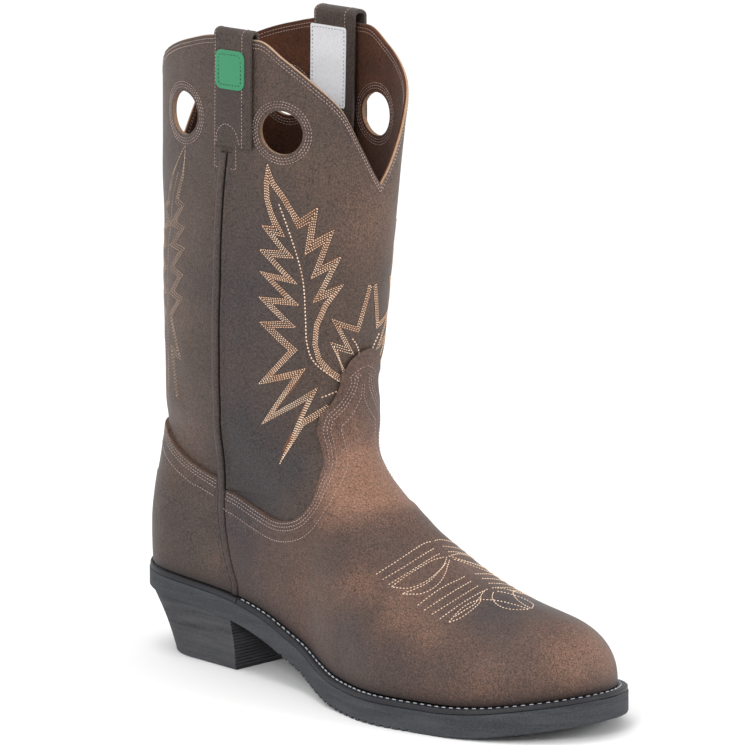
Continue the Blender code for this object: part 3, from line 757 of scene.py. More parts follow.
def mesh_piece(name, points, faces, materials):
    mesh = bpy.data.meshes.new(name)
    mesh.from_pydata([tuple(p) for p in points], [], faces)
    mesh.update()
    for material in materials:
        mesh.materials.append(material)
    piece = bpy.data.objects.new(name, mesh)
    bpy.context.scene.collection.objects.link(piece)
    return piece


def chosen(piece):
    bpy.ops.object.select_all(action="DESELECT")
    piece.select_set(True)
    bpy.context.view_layer.objects.active = piece


def rounded(piece, degrees=35):
    chosen(piece)
    bpy.ops.object.shade_smooth_by_angle(angle=math.radians(degrees))


def cut_by(piece, cutter, operation, folded=False):
    """Applies a Boolean with a cutter, which is then removed. A folded piece may run close to itself."""
    chosen(piece)
    change = piece.modifiers.new("cut", "BOOLEAN")
    change.operation = operation
    change.solver = "EXACT"
    change.material_mode = "TRANSFER"
    change.use_self = folded
    change.object = cutter
    bpy.ops.object.modifier_apply(modifier=change.name)
    bpy.data.objects.remove(cutter)


def side_spot(side, x, height, step=0.0):
    """A point of the leg's section at a distance past the place with this x, and the way out from it."""
    line = leg_slice(min(height, LEG_HEIGHT))[0 if side < 0 else 1]
    where = float(np.interp(x, line[:, 0], lengths(line))) + step
    here, ahead = at_lengths(line, np.array([where - 0.001, where + 0.001]))
    heading = ahead - here
    out = np.array([heading[1], -heading[0], 0.0]) * -side
    spot = (here + ahead) / 2 - SOLE_MIDDLE
    return np.array([spot[0], spot[1], height]), out / np.linalg.norm(out)


inner_skin = skin - skin_out * WALL
rim = (skin[-1] + inner_skin[-1]) / 2 + np.array([0, 0, RIM_ROUND])
shaft_points = np.concatenate([skin.reshape(-1, 3), inner_skin.reshape(-1, 3), rim])
shaft_faces = []
shaft_kinds = []
layer = SKIN_RINGS * ALL_COLUMNS
for row in range(SKIN_RINGS - 1):
    for column in range(ALL_COLUMNS):
        beside = (column + 1) % ALL_COLUMNS
        a, b = row * ALL_COLUMNS + column, row * ALL_COLUMNS + beside
        shaft_faces.append((a, b, b + ALL_COLUMNS, a + ALL_COLUMNS))
        shaft_faces.append((a + layer, a + layer + ALL_COLUMNS, b + layer + ALL_COLUMNS, b + layer))
        shaft_kinds += [0, 1]
top = (SKIN_RINGS - 1) * ALL_COLUMNS
for column in range(ALL_COLUMNS):
    beside = (column + 1) % ALL_COLUMNS
    shaft_faces.append((top + column, top + beside, 2 * layer + beside, 2 * layer + column))
    shaft_faces.append((2 * layer + column, 2 * layer + beside, layer + top + beside, layer + top + column))
    shaft_faces.append((beside, column, layer + column, layer + beside))
    shaft_kinds += [2, 1, 1]
shaft = mesh_piece("shaft", shaft_points, shaft_faces, (leg_leather, flesh, raw_edge))
shaft.data.polygons.foreach_set("material_index", shaft_kinds)
for side, along, up in HOLES:
    spot, out = side_spot(side, along * SOLE_LENGTH, up * LEG_HEIGHT)
    bpy.ops.mesh.primitive_cylinder_add(vertices=56, radius=0.5, depth=HOLE_REACH, location=spot)
    punch = bpy.context.object
    punch.rotation_euler = (math.pi / 2, 0, math.atan2(out[1], out[0]) + math.pi / 2)
    punch.scale = (HOLE_LONG, HOLE_TALL, 1.0)
    punch.data.materials.append(hole_edge)
    cut_by(shaft, punch, "DIFFERENCE")
hide_tone_and_painted_light(shaft)
rounded(shaft, 40)
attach(shaft, "root")
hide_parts("upper")

# Vamp and heel counter. A second layer of the same hide over the foot and round the heel,
# cut to its curved top edges, stitched down in rows and lasted under the welt with the shaft.
PANEL_LIFT = 0.0019
PANEL_UNDER = -0.0003
VAMP_EDGE = (
    # x, height, from the side seam to the peak on the shin
    (0.0600, 0.0970),
    (0.0800, 0.0935),
    (0.0980, 0.0880),
    (0.1120, 0.0850),
    (0.1240, 0.0870),
    (0.1320, 0.0925),
    (0.1370, 0.1020),
    (0.1375, 0.1140),
    (0.1355, 0.1240),
    (0.1340, 0.1330),
    (0.1341, 0.1370),
    (0.1352, 0.1423),
    (0.1389, 0.1487),
    (0.1418, 0.1586),
    (0.1422, 0.1622),
    (0.1446, 0.1672),
    (0.1463, 0.1713),
    (0.1500, 0.1790),
)
COUNTER_EDGE = (
    # x, height, from the side seam to the back
    (0.0800, 0.0970),
    (0.0690, 0.1005),
    (0.0560, 0.1045),
    (0.0430, 0.1100),
    (0.0300, 0.1175),
    (0.0230, 0.1205),
    (-0.0100, 0.1230),
)
VAMP_REST = ((0.35, 0.18), (0.35, -0.01), (0.06, -0.01))
COUNTER_REST = ((-0.01, -0.01), (0.10, -0.01), (0.10, 0.097))
PANEL_TOP = 0.72


def soft_line(points, pieces=10):
    """A curve through points of any size, with its ends kept."""
    points = np.asarray(points, float)
    ends = np.concatenate([[2 * points[0] - points[1]], points, [2 * points[-1] - points[-2]]])
    line = []
    for a, b, c, d in zip(ends, ends[1:], ends[2:], ends[3:]):
        for t in np.arange(pieces) / pieces:
            square = 2 * a - 5 * b + 4 * c - d
            cube = 3 * b - a - 3 * c + d
            line.append(0.5 * (2 * b + (c - a) * t + square * t**2 + cube * t**3))
    return np.array(line + [points[-1]])


def panel(name, first, last, edge, rest, hide, node):
    """A sheet over the skin between two columns, cut in the side view to its edge."""
    columns = np.arange(first, last + 1) % ALL_COLUMNS
    rows = int(SKIN_RINGS * PANEL_TOP)
    under = skin[:rows, columns] + skin_out[:rows, columns] * PANEL_UNDER
    over = skin[:rows, columns] + skin_out[:rows, columns] * PANEL_LIFT
    width = len(columns)
    points = np.concatenate([over.reshape(-1, 3), under.reshape(-1, 3)])
    layer = rows * width
    faces = []
    for row in range(rows - 1):
        for column in range(width - 1):
            a = row * width + column
            faces.append((a, a + 1, a + 1 + width, a + width))
            faces.append((a + layer, a + layer + width, a + layer + width + 1, a + layer + 1))
    for column in range(width - 1):
        a = column
        b = (rows - 1) * width + column
        faces.append((a + 1, a, a + layer, a + layer + 1))
        faces.append((b, b + 1, b + layer + 1, b + layer))
    for row in range(rows - 1):
        a = row * width
        b = a + width - 1
        faces.append((a, a + width, a + layer + width, a + layer))
        faces.append((b + width, b, b + layer, b + layer + width))
    sheet = mesh_piece(name, points, faces, (hide, dark_edge))
    outline = [tuple(p) for p in soft_line(edge)] + list(rest)
    count = len(outline)
    low = [(x - SOLE_MIDDLE[0], -0.15, z) for x, z in outline]
    high = [(x - SOLE_MIDDLE[0], 0.15, z) for x, z in outline]
    sides = [(i, (i + 1) % count, (i + 1) % count + count, i + count) for i in range(count)]
    caps = [tuple(range(count))[::-1], tuple(range(count, 2 * count))]
    knife = mesh_piece("knife", low + high, sides + caps, (dark_edge,))
    chosen(knife)
    bpy.ops.object.mode_set(mode="EDIT")
    bpy.ops.mesh.select_all(action="SELECT")
    bpy.ops.mesh.normals_make_consistent(inside=False)
    bpy.ops.object.mode_set(mode="OBJECT")
    cut_by(sheet, knife, "INTERSECT", folded=True)
    hide_tone_and_painted_light(sheet)
    rounded(sheet, 40)
    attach(sheet, "root")
    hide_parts(node)


vamp_columns = (BACK_COLUMNS + 1, ALL_COLUMNS - BACK_COLUMNS - 1)
counter_columns = (-BACK_COLUMNS, BACK_COLUMNS)
panel("vamp_panel", *vamp_columns, VAMP_EDGE, VAMP_REST, vamp_leather, "vamp")
panel("counter_panel", *counter_columns, COUNTER_EDGE, COUNTER_REST, leg_leather, "heel_counter")

# Side seams. A raised strip of folded leather closes the joint of the front and the back of the leg on each
# side, and runs up to the pull strap with a slit along its front edge, coloured near-black as painted shade.
SEAM_TOP = 0.2783
SEAM_NEXT_COLUMN = 0.0022
SEAM_PROFILE = (
    # distance from the strip's middle, height over the skin
    (-0.00272, -0.0004),
    (-0.00260, 0.0011),
    (-0.00225, 0.0019),
    (-0.00150, 0.0024),
    (-0.00040, 0.0025),
    (0.00090, 0.0024),
    (0.00150, 0.0021),
    (0.00178, 0.0013),
    (0.00182, 0.0001),
    (0.00255, 0.0001),
    (0.00262, 0.0008),
    (0.00300, 0.0011),
    (0.00400, 0.0006),
    (0.00520, -0.0003),
)
SLIT = (7, 8, 9)

# The slit's groove is painted shade, coloured near-black.
slit_painted_shade = plain_material("slit_painted_shade", (0.006, 0.004, 0.004), 0.9)
for side, where in ((-1, "outer"), (1, "inner")):
    profile = []
    for distance, lift in SEAM_PROFILE:
        column = BACK_COLUMNS + 0.5 + distance / SEAM_WIDTH
        if column > BACK_COLUMNS + 1:
            column = BACK_COLUMNS + 1 + (distance - SEAM_WIDTH / 2) / SEAM_NEXT_COLUMN
        profile.append((column if side < 0 else ALL_COLUMNS - column, lift))
    rows = []
    for row in range(SKIN_RINGS):
        spots, outs = on_skin([(column, row) for column, _ in profile], 0.0)
        if spots[0][2] > SEAM_TOP:
            break
        rows.append(spots + outs * np.array([lift for _, lift in profile])[:, None])
    count = len(profile)
    seam_faces = []
    for row in range(len(rows) - 1):
        for i in range(count - 1):
            a = row * count + i
            face = (a, a + 1, a + 1 + count, a + count)
            seam_faces.append(face if side < 0 else face[::-1])
    strip = mesh_piece(f"seam_strip_{where}", np.concatenate(rows), seam_faces, (leg_leather, slit_painted_shade))
    # the faces of the slit get the painted shade
    kinds = [1 if number % (count - 1) in SLIT else 0 for number in range(len(seam_faces))]
    strip.data.polygons.foreach_set("material_index", kinds)
    hide_tone_and_painted_light(strip)
    rounded(strip, 50)
    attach(strip, "root")
    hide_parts(f"side_seam_{where}")

# Welt and seat rand. A black strip round the forepart, stitched to the sole, and a plain one
# round the heel seat. Each lies on the sole and is trimmed flush with its edge.
WELT_START = 0.086
EDGE_INSET = 0.0004
RAND_GAP = 0.0007
WELT_STATIONS = 150
WELT_PROFILE = (
    # share of the way from the upper to the edge, height as a share of the thickness
    (-0.30, 0.10),
    (-0.30, 0.75),
    (0.00, 0.80),
    (0.10, 0.62),
    (0.22, 0.96),
    (0.38, 1.00),
    (0.50, 0.84),
    (0.62, 1.00),
    (0.80, 0.98),
    (0.90, 0.88),
    (0.99, 0.66),
    (1.00, 0.10),
)


def inset_outline(x, inset, back, front):
    """Half width of an outline drawn in by an inset, which also starts and ends inside the sole's."""
    full = smooth(PLAN, 1, share(x)) * BALL_WIDTH - inset
    return full * heel_round(x, back) * toe_round(x, front)


def edge_loop(where, height, front):
    """A line round the sole at a share of the way from the upper's foot to the sole's edge."""
    t = np.linspace(0, 1, WELT_STATIONS)
    if front:
        reach = float(feather_inset(SOLE_LENGTH)) * (1 - where) + EDGE_INSET * where
        end = SOLE_LENGTH - reach
        x = WELT_START + (end - WELT_START) * np.sin(t * math.pi / 2)
        inset = feather_inset(x) * (1 - where) + EDGE_INSET * where
        half = inset_outline(x, inset, 0.0, end)
    else:
        start = float(feather_inset(0.0)) * (1 - where) + EDGE_INSET * where
        x = start + (WELT_START - RAND_GAP - start) * (1 - np.cos(t * math.pi / 2))
        inset = feather_inset(x) * (1 - where) + EDGE_INSET * where
        half = inset_outline(x, inset, start, SOLE_LENGTH)
    z = sole_top(x) + WELT_THICK * height
    outer = np.stack([x, centre(x) - half, z], 1)
    inner = np.stack([x, centre(x) + half, z], 1)
    loop = np.concatenate([outer, inner[:-1][::-1]]) if front else np.concatenate([inner[::-1], outer[1:]])
    return loop - SOLE_MIDDLE


def lofted(name, loops, closed, materials, ends=True):
    """Skins a row of lines with equal numbers of points into one solid band."""
    loops = np.array(loops)
    rows, count = loops.shape[:2]
    faces = []
    for row in range(rows if closed else rows - 1):
        for i in range(count - 1):
            a, b = row * count + i, (row + 1) % rows * count + i
            faces.append((a, a + 1, b + 1, b))
    if ends:
        faces.append([row * count for row in range(rows)])
        faces.append([row * count + count - 1 for row in range(rows)][::-1])
    piece = mesh_piece(name, loops.reshape(-1, 3), faces, materials)
    chosen(piece)
    bpy.ops.object.mode_set(mode="EDIT")
    bpy.ops.mesh.select_all(action="SELECT")
    bpy.ops.mesh.normals_make_consistent(inside=False)
    bpy.ops.object.mode_set(mode="OBJECT")
    return piece


def rubber(name, colour, light, roughness, speck):
    """Moulded rubber: a fine dry speckle and a faint drag along the trimmed edge."""
    made = plain_material(name, colour, roughness)
    tree = made.node_tree
    shader = tree.nodes["Principled BSDF"]
    dust = noise(tree, 1300, 4, 0.75)
    drag = noise(tree, 60, 5, 0.6, stretch=(0.35, 0.35, 4.0))
    specks = arithmetic(tree, "MULTIPLY", dust, speck)
    level = arithmetic(tree, "ADD", specks, arithmetic(tree, "MULTIPLY", drag, 1 - speck))
    colour_out = ramp(tree, level, ((0.38, colour), (0.62, light)))
    tree.links.new(colour_out, shader.inputs["Base Color"])
    shader.inputs["Specular IOR Level"].default_value = 0.35
    tree.links.new(bumps(tree, ((drag, 0.25, 0.0005), (dust, 0.4, 0.0003))), shader.inputs["Normal"])
    return made


welt_black = rubber("welt_black", (0.006, 0.006, 0.008), (0.022, 0.022, 0.026), 0.5, 0.6)
for front, name, node in ((True, "welt_strip", "welt"), (False, "seat_rand", "heel_seat_rand")):
    loops = [edge_loop(where, height, front) for where, height in WELT_PROFILE]
    band = lofted(name, loops, True, (welt_black,))
    rounded(band, 50)
    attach(band, "root")
    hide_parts(node)

# Sole. One moulded rubber unit with an arch, a toe spring and a fine ribbed tread under the forepart,
# its edge trimmed square with a narrow bevel on top and a scored line round the toe.
RIB_START = 0.118
RIB_END = 0.232
RIB_PITCH = 0.0052
RIB_DEPTH = 0.0012
RIB_FLANK = 0.0005
SOLE_STATIONS = 170
SOLE_PROFILE = (
    # inset from the outline, share of the thickness
    (0.0006, 0.00),
    (0.0000, 0.06),
    (0.0000, 0.35),
    (0.0001, 0.66),
    (0.0006, 0.69),
    (0.0001, 0.72),
    (0.0000, 0.90),
    (0.0004, 0.97),
    (0.0012, 1.00),
)
SCORE_FROM = 0.285
SCORE_FULL = 0.300


def sole_stations():
    t = np.linspace(0.004, 0.996, SOLE_STATIONS)
    plain = SOLE_LENGTH * (1 - np.cos(math.pi * t)) / 2
    ribs = []
    for i in range(int((RIB_END - RIB_START) / RIB_PITCH)):
        start = RIB_START + i * RIB_PITCH
        half = RIB_PITCH / 2
        ribs += [start, start + RIB_FLANK, start + half - RIB_FLANK]
        ribs += [start + half, start + half + RIB_FLANK, start + RIB_PITCH - RIB_FLANK]
    keep = (plain < RIB_START - RIB_FLANK) | (plain > ribs[-1] + RIB_FLANK)
    return np.sort(np.concatenate([plain[keep], ribs]))


def rib_cut(x):
    """How far the underside is cut back at each place, soft at the flanks of the ribs."""
    place = np.mod(x - RIB_START + 1e-7, RIB_PITCH)
    groove = (place > RIB_PITCH / 2 + 1e-6) & (place < RIB_PITCH - 1e-6)
    flank = np.minimum(place - RIB_PITCH / 2, RIB_PITCH - place) / RIB_FLANK
    inside = (x > RIB_START) & (x < RIB_END)
    return np.where(groove & inside, RIB_DEPTH * np.clip(flank, 0, 1), 0.0)


stations = sole_stations()
sole_rows = []
for inset, height in SOLE_PROFILE:
    scored = np.clip((stations - SCORE_FROM) / (SCORE_FULL - SCORE_FROM), 0, 1)
    drawn = inset * (scored if 0.6 < height < 0.75 else 1.0) + 0 * stations
    pulled_in = 0.0 if 0.6 < height < 0.75 else inset * 2 / SOLE_LENGTH
    x = stations + (SOLE_LENGTH / 2 - stations) * pulled_in
    half = smooth(PLAN, 1, share(x)) * BALL_WIDTH * heel_round(x, 0.0) * toe_round(x, SOLE_LENGTH) - drawn
    half = np.maximum(half, 0.0004)
    z = sole_under(x) + rib_cut(x) * (1 - height / 0.3 if height < 0.3 else 0.0)
    z = z + (sole_top(x) - z) * height
    sole_rows.append((x, centre(x) - half, centre(x) + half, z))
sole_points = []
for x, outer, inner, z in sole_rows:
    sole_points += [np.stack([x, outer, z], 1), np.stack([x, inner, z], 1)]
count = len(stations)
sole_faces = []
for row in range(len(sole_rows) - 1):
    for side in (0, 1):
        a, b = (2 * row + side) * count, (2 * row + 2 + side) * count
        for i in range(count - 1):
            face = (a + i, a + i + 1, b + i + 1, b + i)
            sole_faces.append(face if side == 0 else face[::-1])
    a, b = 2 * row * count, (2 * row + 2) * count
    sole_faces.append((a + count, a, b, b + count))
    sole_faces.append((a + count - 1, a + 2 * count - 1, b + 2 * count - 1, b + count - 1))
last = 2 * (len(sole_rows) - 1) * count
for i in range(count - 1):
    sole_faces.append((i, i + count, i + count + 1, i + 1))
    sole_faces.append((last + i, last + i + 1, last + i + count + 1, last + i + count))
sole_rubber = rubber("sole_rubber", (0.021, 0.023, 0.027), (0.060, 0.064, 0.071), 0.8, 0.55)
sole = mesh_piece("sole_unit", np.concatenate(sole_points) - SOLE_MIDDLE, sole_faces, (sole_rubber,))
rounded(sole, 32)
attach(sole, "root")
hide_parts("outsole")

# Heel. An underslung block of the same rubber, tapered to its base, with its breast cast in fine
# level ribs. It is nailed and glued under the seat of the sole.
HEEL_BREAST_BASE = 0.0820
HEEL_BREAST_TOP = 0.0800
HEEL_BACK_BASE = 0.0180
HEEL_BACK_TOP = 0.0016
HEEL_BASE_HALF = 0.0295
HEEL_TOP_INSET = 0.0012
HEEL_BASE_ROUND = 0.0290
HEEL_STATIONS = 70
HEEL_ROWS = 34
HEEL_HOLLOW = 0.0010
HEEL_BEVEL = 0.0010
BREAST_RIB = 0.0007

heel_rows = []
way = 1 - np.cos(np.linspace(0.006, 1, HEEL_STATIONS) * math.pi / 2)
base_x = HEEL_BACK_BASE + (HEEL_BREAST_BASE - HEEL_BACK_BASE) * way
top_x = HEEL_BACK_TOP + (HEEL_BREAST_TOP - HEEL_BACK_TOP) * way
tail = np.clip(1 - (base_x - HEEL_BACK_BASE) / HEEL_BASE_ROUND, 0, 1)
base_half = HEEL_BASE_HALF * np.sqrt(1 - tail**2)
top_half = (smooth(PLAN, 1, share(top_x)) * BALL_WIDTH - HEEL_TOP_INSET) * heel_round(top_x, HEEL_BACK_TOP)
for row in range(HEEL_ROWS):
    t = row / (HEEL_ROWS - 1)
    bow = HEEL_HOLLOW * math.sin(math.pi * t)
    trim = HEEL_BEVEL if row == 0 else 0.0
    height = max(0.0, t - 0.5 / HEEL_ROWS) if row == 1 else t
    x = base_x * (1 - t) + top_x * t
    half = base_half * (1 - t) + top_half * t
    half = np.maximum(half - (bow + trim) * np.clip(half / 0.01, 0, 1), 0.0003)
    x = x + (bow + trim) * np.clip(1 - way / 0.3, 0, 1)
    x[-1] -= BREAST_RIB if row % 2 and 1 < row < HEEL_ROWS - 2 else 0.0
    middle = centre(base_x) * (1 - t) + centre(top_x) * t
    z = (sole_under(top_x) + 0.0002) * height
    heel_rows.append((x, middle - half, middle + half, z))
heel_points = []
for x, outer, inner, z in heel_rows:
    heel_points += [np.stack([x, outer, z], 1), np.stack([x, inner, z], 1)]
count = HEEL_STATIONS
heel_faces = []
for row in range(HEEL_ROWS - 1):
    for side in (0, 1):
        a, b = (2 * row + side) * count, (2 * row + 2 + side) * count
        for i in range(count - 1):
            face = (a + i, a + i + 1, b + i + 1, b + i)
            heel_faces.append(face if side == 0 else face[::-1])
    a, b = 2 * row * count, (2 * row + 2) * count
    heel_faces.append((a + count, a, b, b + count))
    heel_faces.append((a + count - 1, a + 2 * count - 1, b + 2 * count - 1, b + count - 1))
last = 2 * (HEEL_ROWS - 1) * count
for i in range(count - 1):
    heel_faces.append((i, i + count, i + count + 1, i + 1))
    heel_faces.append((last + i, last + i + 1, last + i + count + 1, last + i + count))
heel_rubber = rubber("heel_rubber", (0.024, 0.025, 0.028), (0.074, 0.074, 0.080), 0.82, 0.5)
# The breast is the same rubber, darkened as painted shade under the arch.
breast_painted_shade = rubber("breast_painted_shade", (0.010, 0.010, 0.012), (0.030, 0.030, 0.034), 0.7, 0.6)
heel_points = np.concatenate(heel_points) - SOLE_MIDDLE
heel = mesh_piece("heel_block", heel_points, heel_faces, (heel_rubber, breast_painted_shade))
# the breast faces get the painted-shade rubber
for face in heel.data.polygons:
    if face.normal.x > 0.75 and face.center.x > base_x[-1] - SOLE_MIDDLE[0] - 0.006:
        face.material_index = 1
rounded(heel, 32)
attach(heel, "root")
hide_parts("heel")

# Insole. The brown leather board in the bottom of the boot stays as the fixed model has it.
board = suede("insole_leather", (0.080, 0.038, 0.022), (0.150, 0.080, 0.048))
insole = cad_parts["insole"]
insole.data.materials.clear()
insole.data.materials.append(board)

# Pull straps. A band of leather is folded over the collar on each side and sewn down. Outside it ends in
# a straight edge where the side seam begins, and inside it hangs a little clear of the leg.
STRAPS = {
    # side, middle as a share of the length, width, rise above the leg, how far the inside hangs clear
    "outer": (-1, 0.2974, 0.0264, 0.0049, 0.0000),
    "inner": (1, 0.2894, 0.0300, 0.0078, 0.0025),
}
STRAP_THICK = 0.0020
STRAP_GAP = 0.0006
STRAP_OUTSIDE = 0.0555
STRAP_INSIDE = 0.1045
STRAP_FOLD = 0.0085
STRAP_LEAN = 0.0030
STRAP_SECTION = (
    # share across the strap, share of its thickness
    (0.000, 0.50),
    (0.012, 0.86),
    (0.040, 1.00),
    (0.200, 1.00),
    (0.400, 1.00),
    (0.600, 1.00),
    (0.800, 1.00),
    (0.960, 1.00),
    (0.988, 0.86),
    (1.000, 0.50),
    (0.988, 0.00),
    (0.800, 0.00),
    (0.600, 0.00),
    (0.400, 0.00),
    (0.200, 0.00),
    (0.012, 0.00),
)


def strap_path(lift, rise, slack):
    """Offset from the leg and height at a share of the thickness: up, over the collar, down inside."""
    offset = STRAP_GAP + STRAP_THICK * lift
    high = LEG_HEIGHT - STRAP_FOLD
    end = LEG_HEIGHT - STRAP_INSIDE
    middle = LEG_HEIGHT + rise - WALL / 2 - STRAP_GAP - STRAP_THICK
    up = WALL / 2 + offset
    across = up + slack / 2
    path = [(offset, z) for z in np.linspace(LEG_HEIGHT - STRAP_OUTSIDE, high, 16)]
    for angle in np.linspace(0, math.pi, 17):
        path.append((-(WALL + slack) / 2 + across * math.cos(angle), middle + up * math.sin(angle)))
    for z in np.linspace(high, end, 20):
        lean = slack / 0.0025 * STRAP_LEAN * (high - z) / (high - end)
        path.append((-WALL - slack - offset - lean, z))
    return path


def strap_spot(where, across, offset, height):
    """A point over the leg at a share across the strap, and the way out there."""
    side, middle, width, _, _ = STRAPS[where]
    spot, out = side_spot(side, middle * SOLE_LENGTH, height, (across - 0.5) * width)
    return spot + out * offset, out


STRAP_TONES = ((0.046, 0.037, 0.037), (0.078, 0.052, 0.042), (0.134, 0.082, 0.059))
strap_leather = leather("strap_leather", *STRAP_TONES, WELT_PAINTED_SHADE)
for where, (side, middle, width, rise, slack) in STRAPS.items():
    paths = [strap_path(lift, rise, slack) for _, lift in STRAP_SECTION]
    count = len(STRAP_SECTION)
    strap_points = []
    for row in range(len(paths[0])):
        for (across, _), path in zip(STRAP_SECTION, paths):
            strap_points.append(strap_spot(where, across, *path[row])[0])
    strap_faces = []
    for row in range(len(paths[0]) - 1):
        for i in range(count):
            a, b = row * count + i, row * count + (i + 1) % count
            strap_faces.append((a, b, b + count, a + count))
    last = (len(paths[0]) - 1) * count
    strap_faces += [list(range(count))[::-1], [last + i for i in range(count)]]
    strap = mesh_piece(f"strap_{where}", strap_points, strap_faces, (strap_leather,))
    chosen(strap)
    bpy.ops.object.mode_set(mode="EDIT")
    bpy.ops.mesh.select_all(action="SELECT")
    bpy.ops.mesh.normals_make_consistent(inside=False)
    bpy.ops.object.mode_set(mode="OBJECT")
    hide_tone_and_painted_light(strap)
    rounded(strap, 40)
    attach(strap, "root")
    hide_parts(f"pull_strap_{where}")

# Size label and patch. The label is a woven white tab sewn inside the far strap, and the patch a green
# tab on the outer strap. Both are bare here, each with its sewn border.
TABS = {
    # strap, share across and height of its middle, width, length, thickness, corner, colour
    "size_label": ("inner", 0.38, 0.3114, 0.0262, 0.0420, 0.0004, 0.0012, (0.83, 0.83, 0.86)),
    "green_patch": ("outer", 0.47, 0.3185, 0.0200, 0.0200, 0.0007, 0.0042, (0.020, 0.215, 0.095)),
}
TAB_STEPS = 28
TAB_LIFT = 0.0001
TAB_WAVE = 0.0001
TAB_WAVES = 330


def tab_spot(name, across, up, lift):
    """A point on a tab at shares across and up from its middle, and the way out there."""
    strap_name, middle, height, width, length, _, _, _ = TABS[name]
    _, _, strap_width, _, slack = STRAPS[strap_name]
    z = height + up * length
    share_across = middle + across * width / strap_width
    if strap_name == "outer":
        spot, out = strap_spot(strap_name, share_across, STRAP_GAP + STRAP_THICK + lift, z)
        return spot, out
    high = LEG_HEIGHT - STRAP_FOLD
    lean = STRAP_LEAN * max(0.0, high - z) / (STRAP_INSIDE - STRAP_FOLD)
    spot, out = strap_spot(strap_name, share_across, -WALL - slack - STRAP_GAP - STRAP_THICK - lean - lift, z)
    return spot, -out


def cloth(name, colour):
    """Plain woven cloth, with fine threads both ways."""
    made = plain_material(name, colour, 0.7)
    tree = made.node_tree
    shader = tree.nodes["Principled BSDF"]
    weave = noise(tree, 1500, 2, 0.6, stretch=(1.0, 1.0, 0.4))
    shade = tuple(c * 0.86 for c in colour)
    tree.links.new(ramp(tree, weave, ((0.3, shade), (0.6, colour))), shader.inputs["Base Color"])
    shader.inputs["Sheen Weight"].default_value = 0.2
    tree.links.new(bumps(tree, ((weave, 0.4, 0.0002),)), shader.inputs["Normal"])
    return made


for name, (strap_name, middle, height, width, length, thick, corner, colour) in TABS.items():
    tab_points = []
    for side_lift in (TAB_LIFT, thick):
        for row in np.linspace(-0.5, 0.5, TAB_STEPS):
            for column in np.linspace(-0.5, 0.5, TAB_STEPS):
                past_x = max(0.0, abs(column) * width - (width / 2 - corner))
                past_z = max(0.0, abs(row) * length - (length / 2 - corner))
                reach = math.hypot(past_x, past_z)
                pull = corner / reach if reach > corner else 1.0
                x = math.copysign(min(abs(column) * width, width / 2 - corner) + past_x * pull, column)
                z = math.copysign(min(abs(row) * length, length / 2 - corner) + past_z * pull, row)
                edge = min(width / 2 - abs(x), length / 2 - abs(z))
                waved = side_lift > TAB_LIFT and edge > 0.001
                lift = side_lift + (TAB_WAVE * math.sin(z * TAB_WAVES) if waved else 0.0)
                tab_points.append(tab_spot(name, x / width, z / length, lift)[0])
    tab_faces = []
    layer = TAB_STEPS * TAB_STEPS
    for row in range(TAB_STEPS - 1):
        for column in range(TAB_STEPS - 1):
            a = row * TAB_STEPS + column
            tab_faces.append((a, a + TAB_STEPS, a + TAB_STEPS + 1, a + 1))
            tab_faces.append((a + layer, a + layer + 1, a + layer + TAB_STEPS + 1, a + layer + TAB_STEPS))
    border = [(0, i) for i in range(TAB_STEPS)] + [(i, TAB_STEPS - 1) for i in range(1, TAB_STEPS)]
    border += [(TAB_STEPS - 1, i) for i in range(TAB_STEPS - 2, -1, -1)]
    border += [(i, 0) for i in range(TAB_STEPS - 2, 0, -1)]
    border = [row * TAB_STEPS + column for row, column in border]
    for a, b in zip(border, border[1:] + border[:1]):
        tab_faces.append((a, b, b + layer, a + layer))
    tab = mesh_piece(name, tab_points, tab_faces, (cloth(name + "_cloth", colour),))
    chosen(tab)
    bpy.ops.object.mode_set(mode="EDIT")
    bpy.ops.mesh.select_all(action="SELECT")
    bpy.ops.mesh.normals_make_consistent(inside=False)
    bpy.ops.object.mode_set(mode="OBJECT")
    rounded(tab, 40)
    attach(tab, "root")

# Stitching. Waxed cream thread in separate stitches, sunk at their ends, along the edges of the
# panels, the collar and the holes, and in the leaf and flame figures that western shafts carry.
THREAD = 0.00027
STITCH = 0.0012
STITCH_GAP = 0.0006
EDGE_THREAD = 0.00022
FINE_STEP = 0.0004


def resampled(points, step):
    points = np.asarray(points, float)
    along = lengths(points)
    count = max(2, int(round(along[-1] / step)) + 1)
    return at_lengths(points, np.linspace(0, along[-1], count))


def beside(places, distance):
    """The line of places moved sideways over the skin, with mitred corners."""
    points, outs = on_skin(places, 0.0)
    steps = np.diff(points, axis=0)
    steps /= np.maximum(np.linalg.norm(steps, axis=1, keepdims=True), 1e-9)
    before = np.concatenate([steps[:1], steps])
    after = np.concatenate([steps, steps[-1:]])
    first = np.cross(outs, before)
    second = np.cross(outs, after)
    middle = first + second
    middle /= np.maximum(np.linalg.norm(middle, axis=1, keepdims=True), 1e-9)
    stretch = np.maximum((middle * first).sum(1, keepdims=True), 0.42)
    return nearest_places(points + middle / stretch * distance)


def joined(places, step=0.0025):
    """Straight pieces between places, followed over the skin."""
    points, _ = on_skin(places, 0.0)
    line = []
    for a, b in zip(points, points[1:]):
        count = max(1, int(np.linalg.norm(b - a) / step))
        line += [a + (b - a) * i / count for i in range(count)]
    return nearest_places(line + [points[-1]])


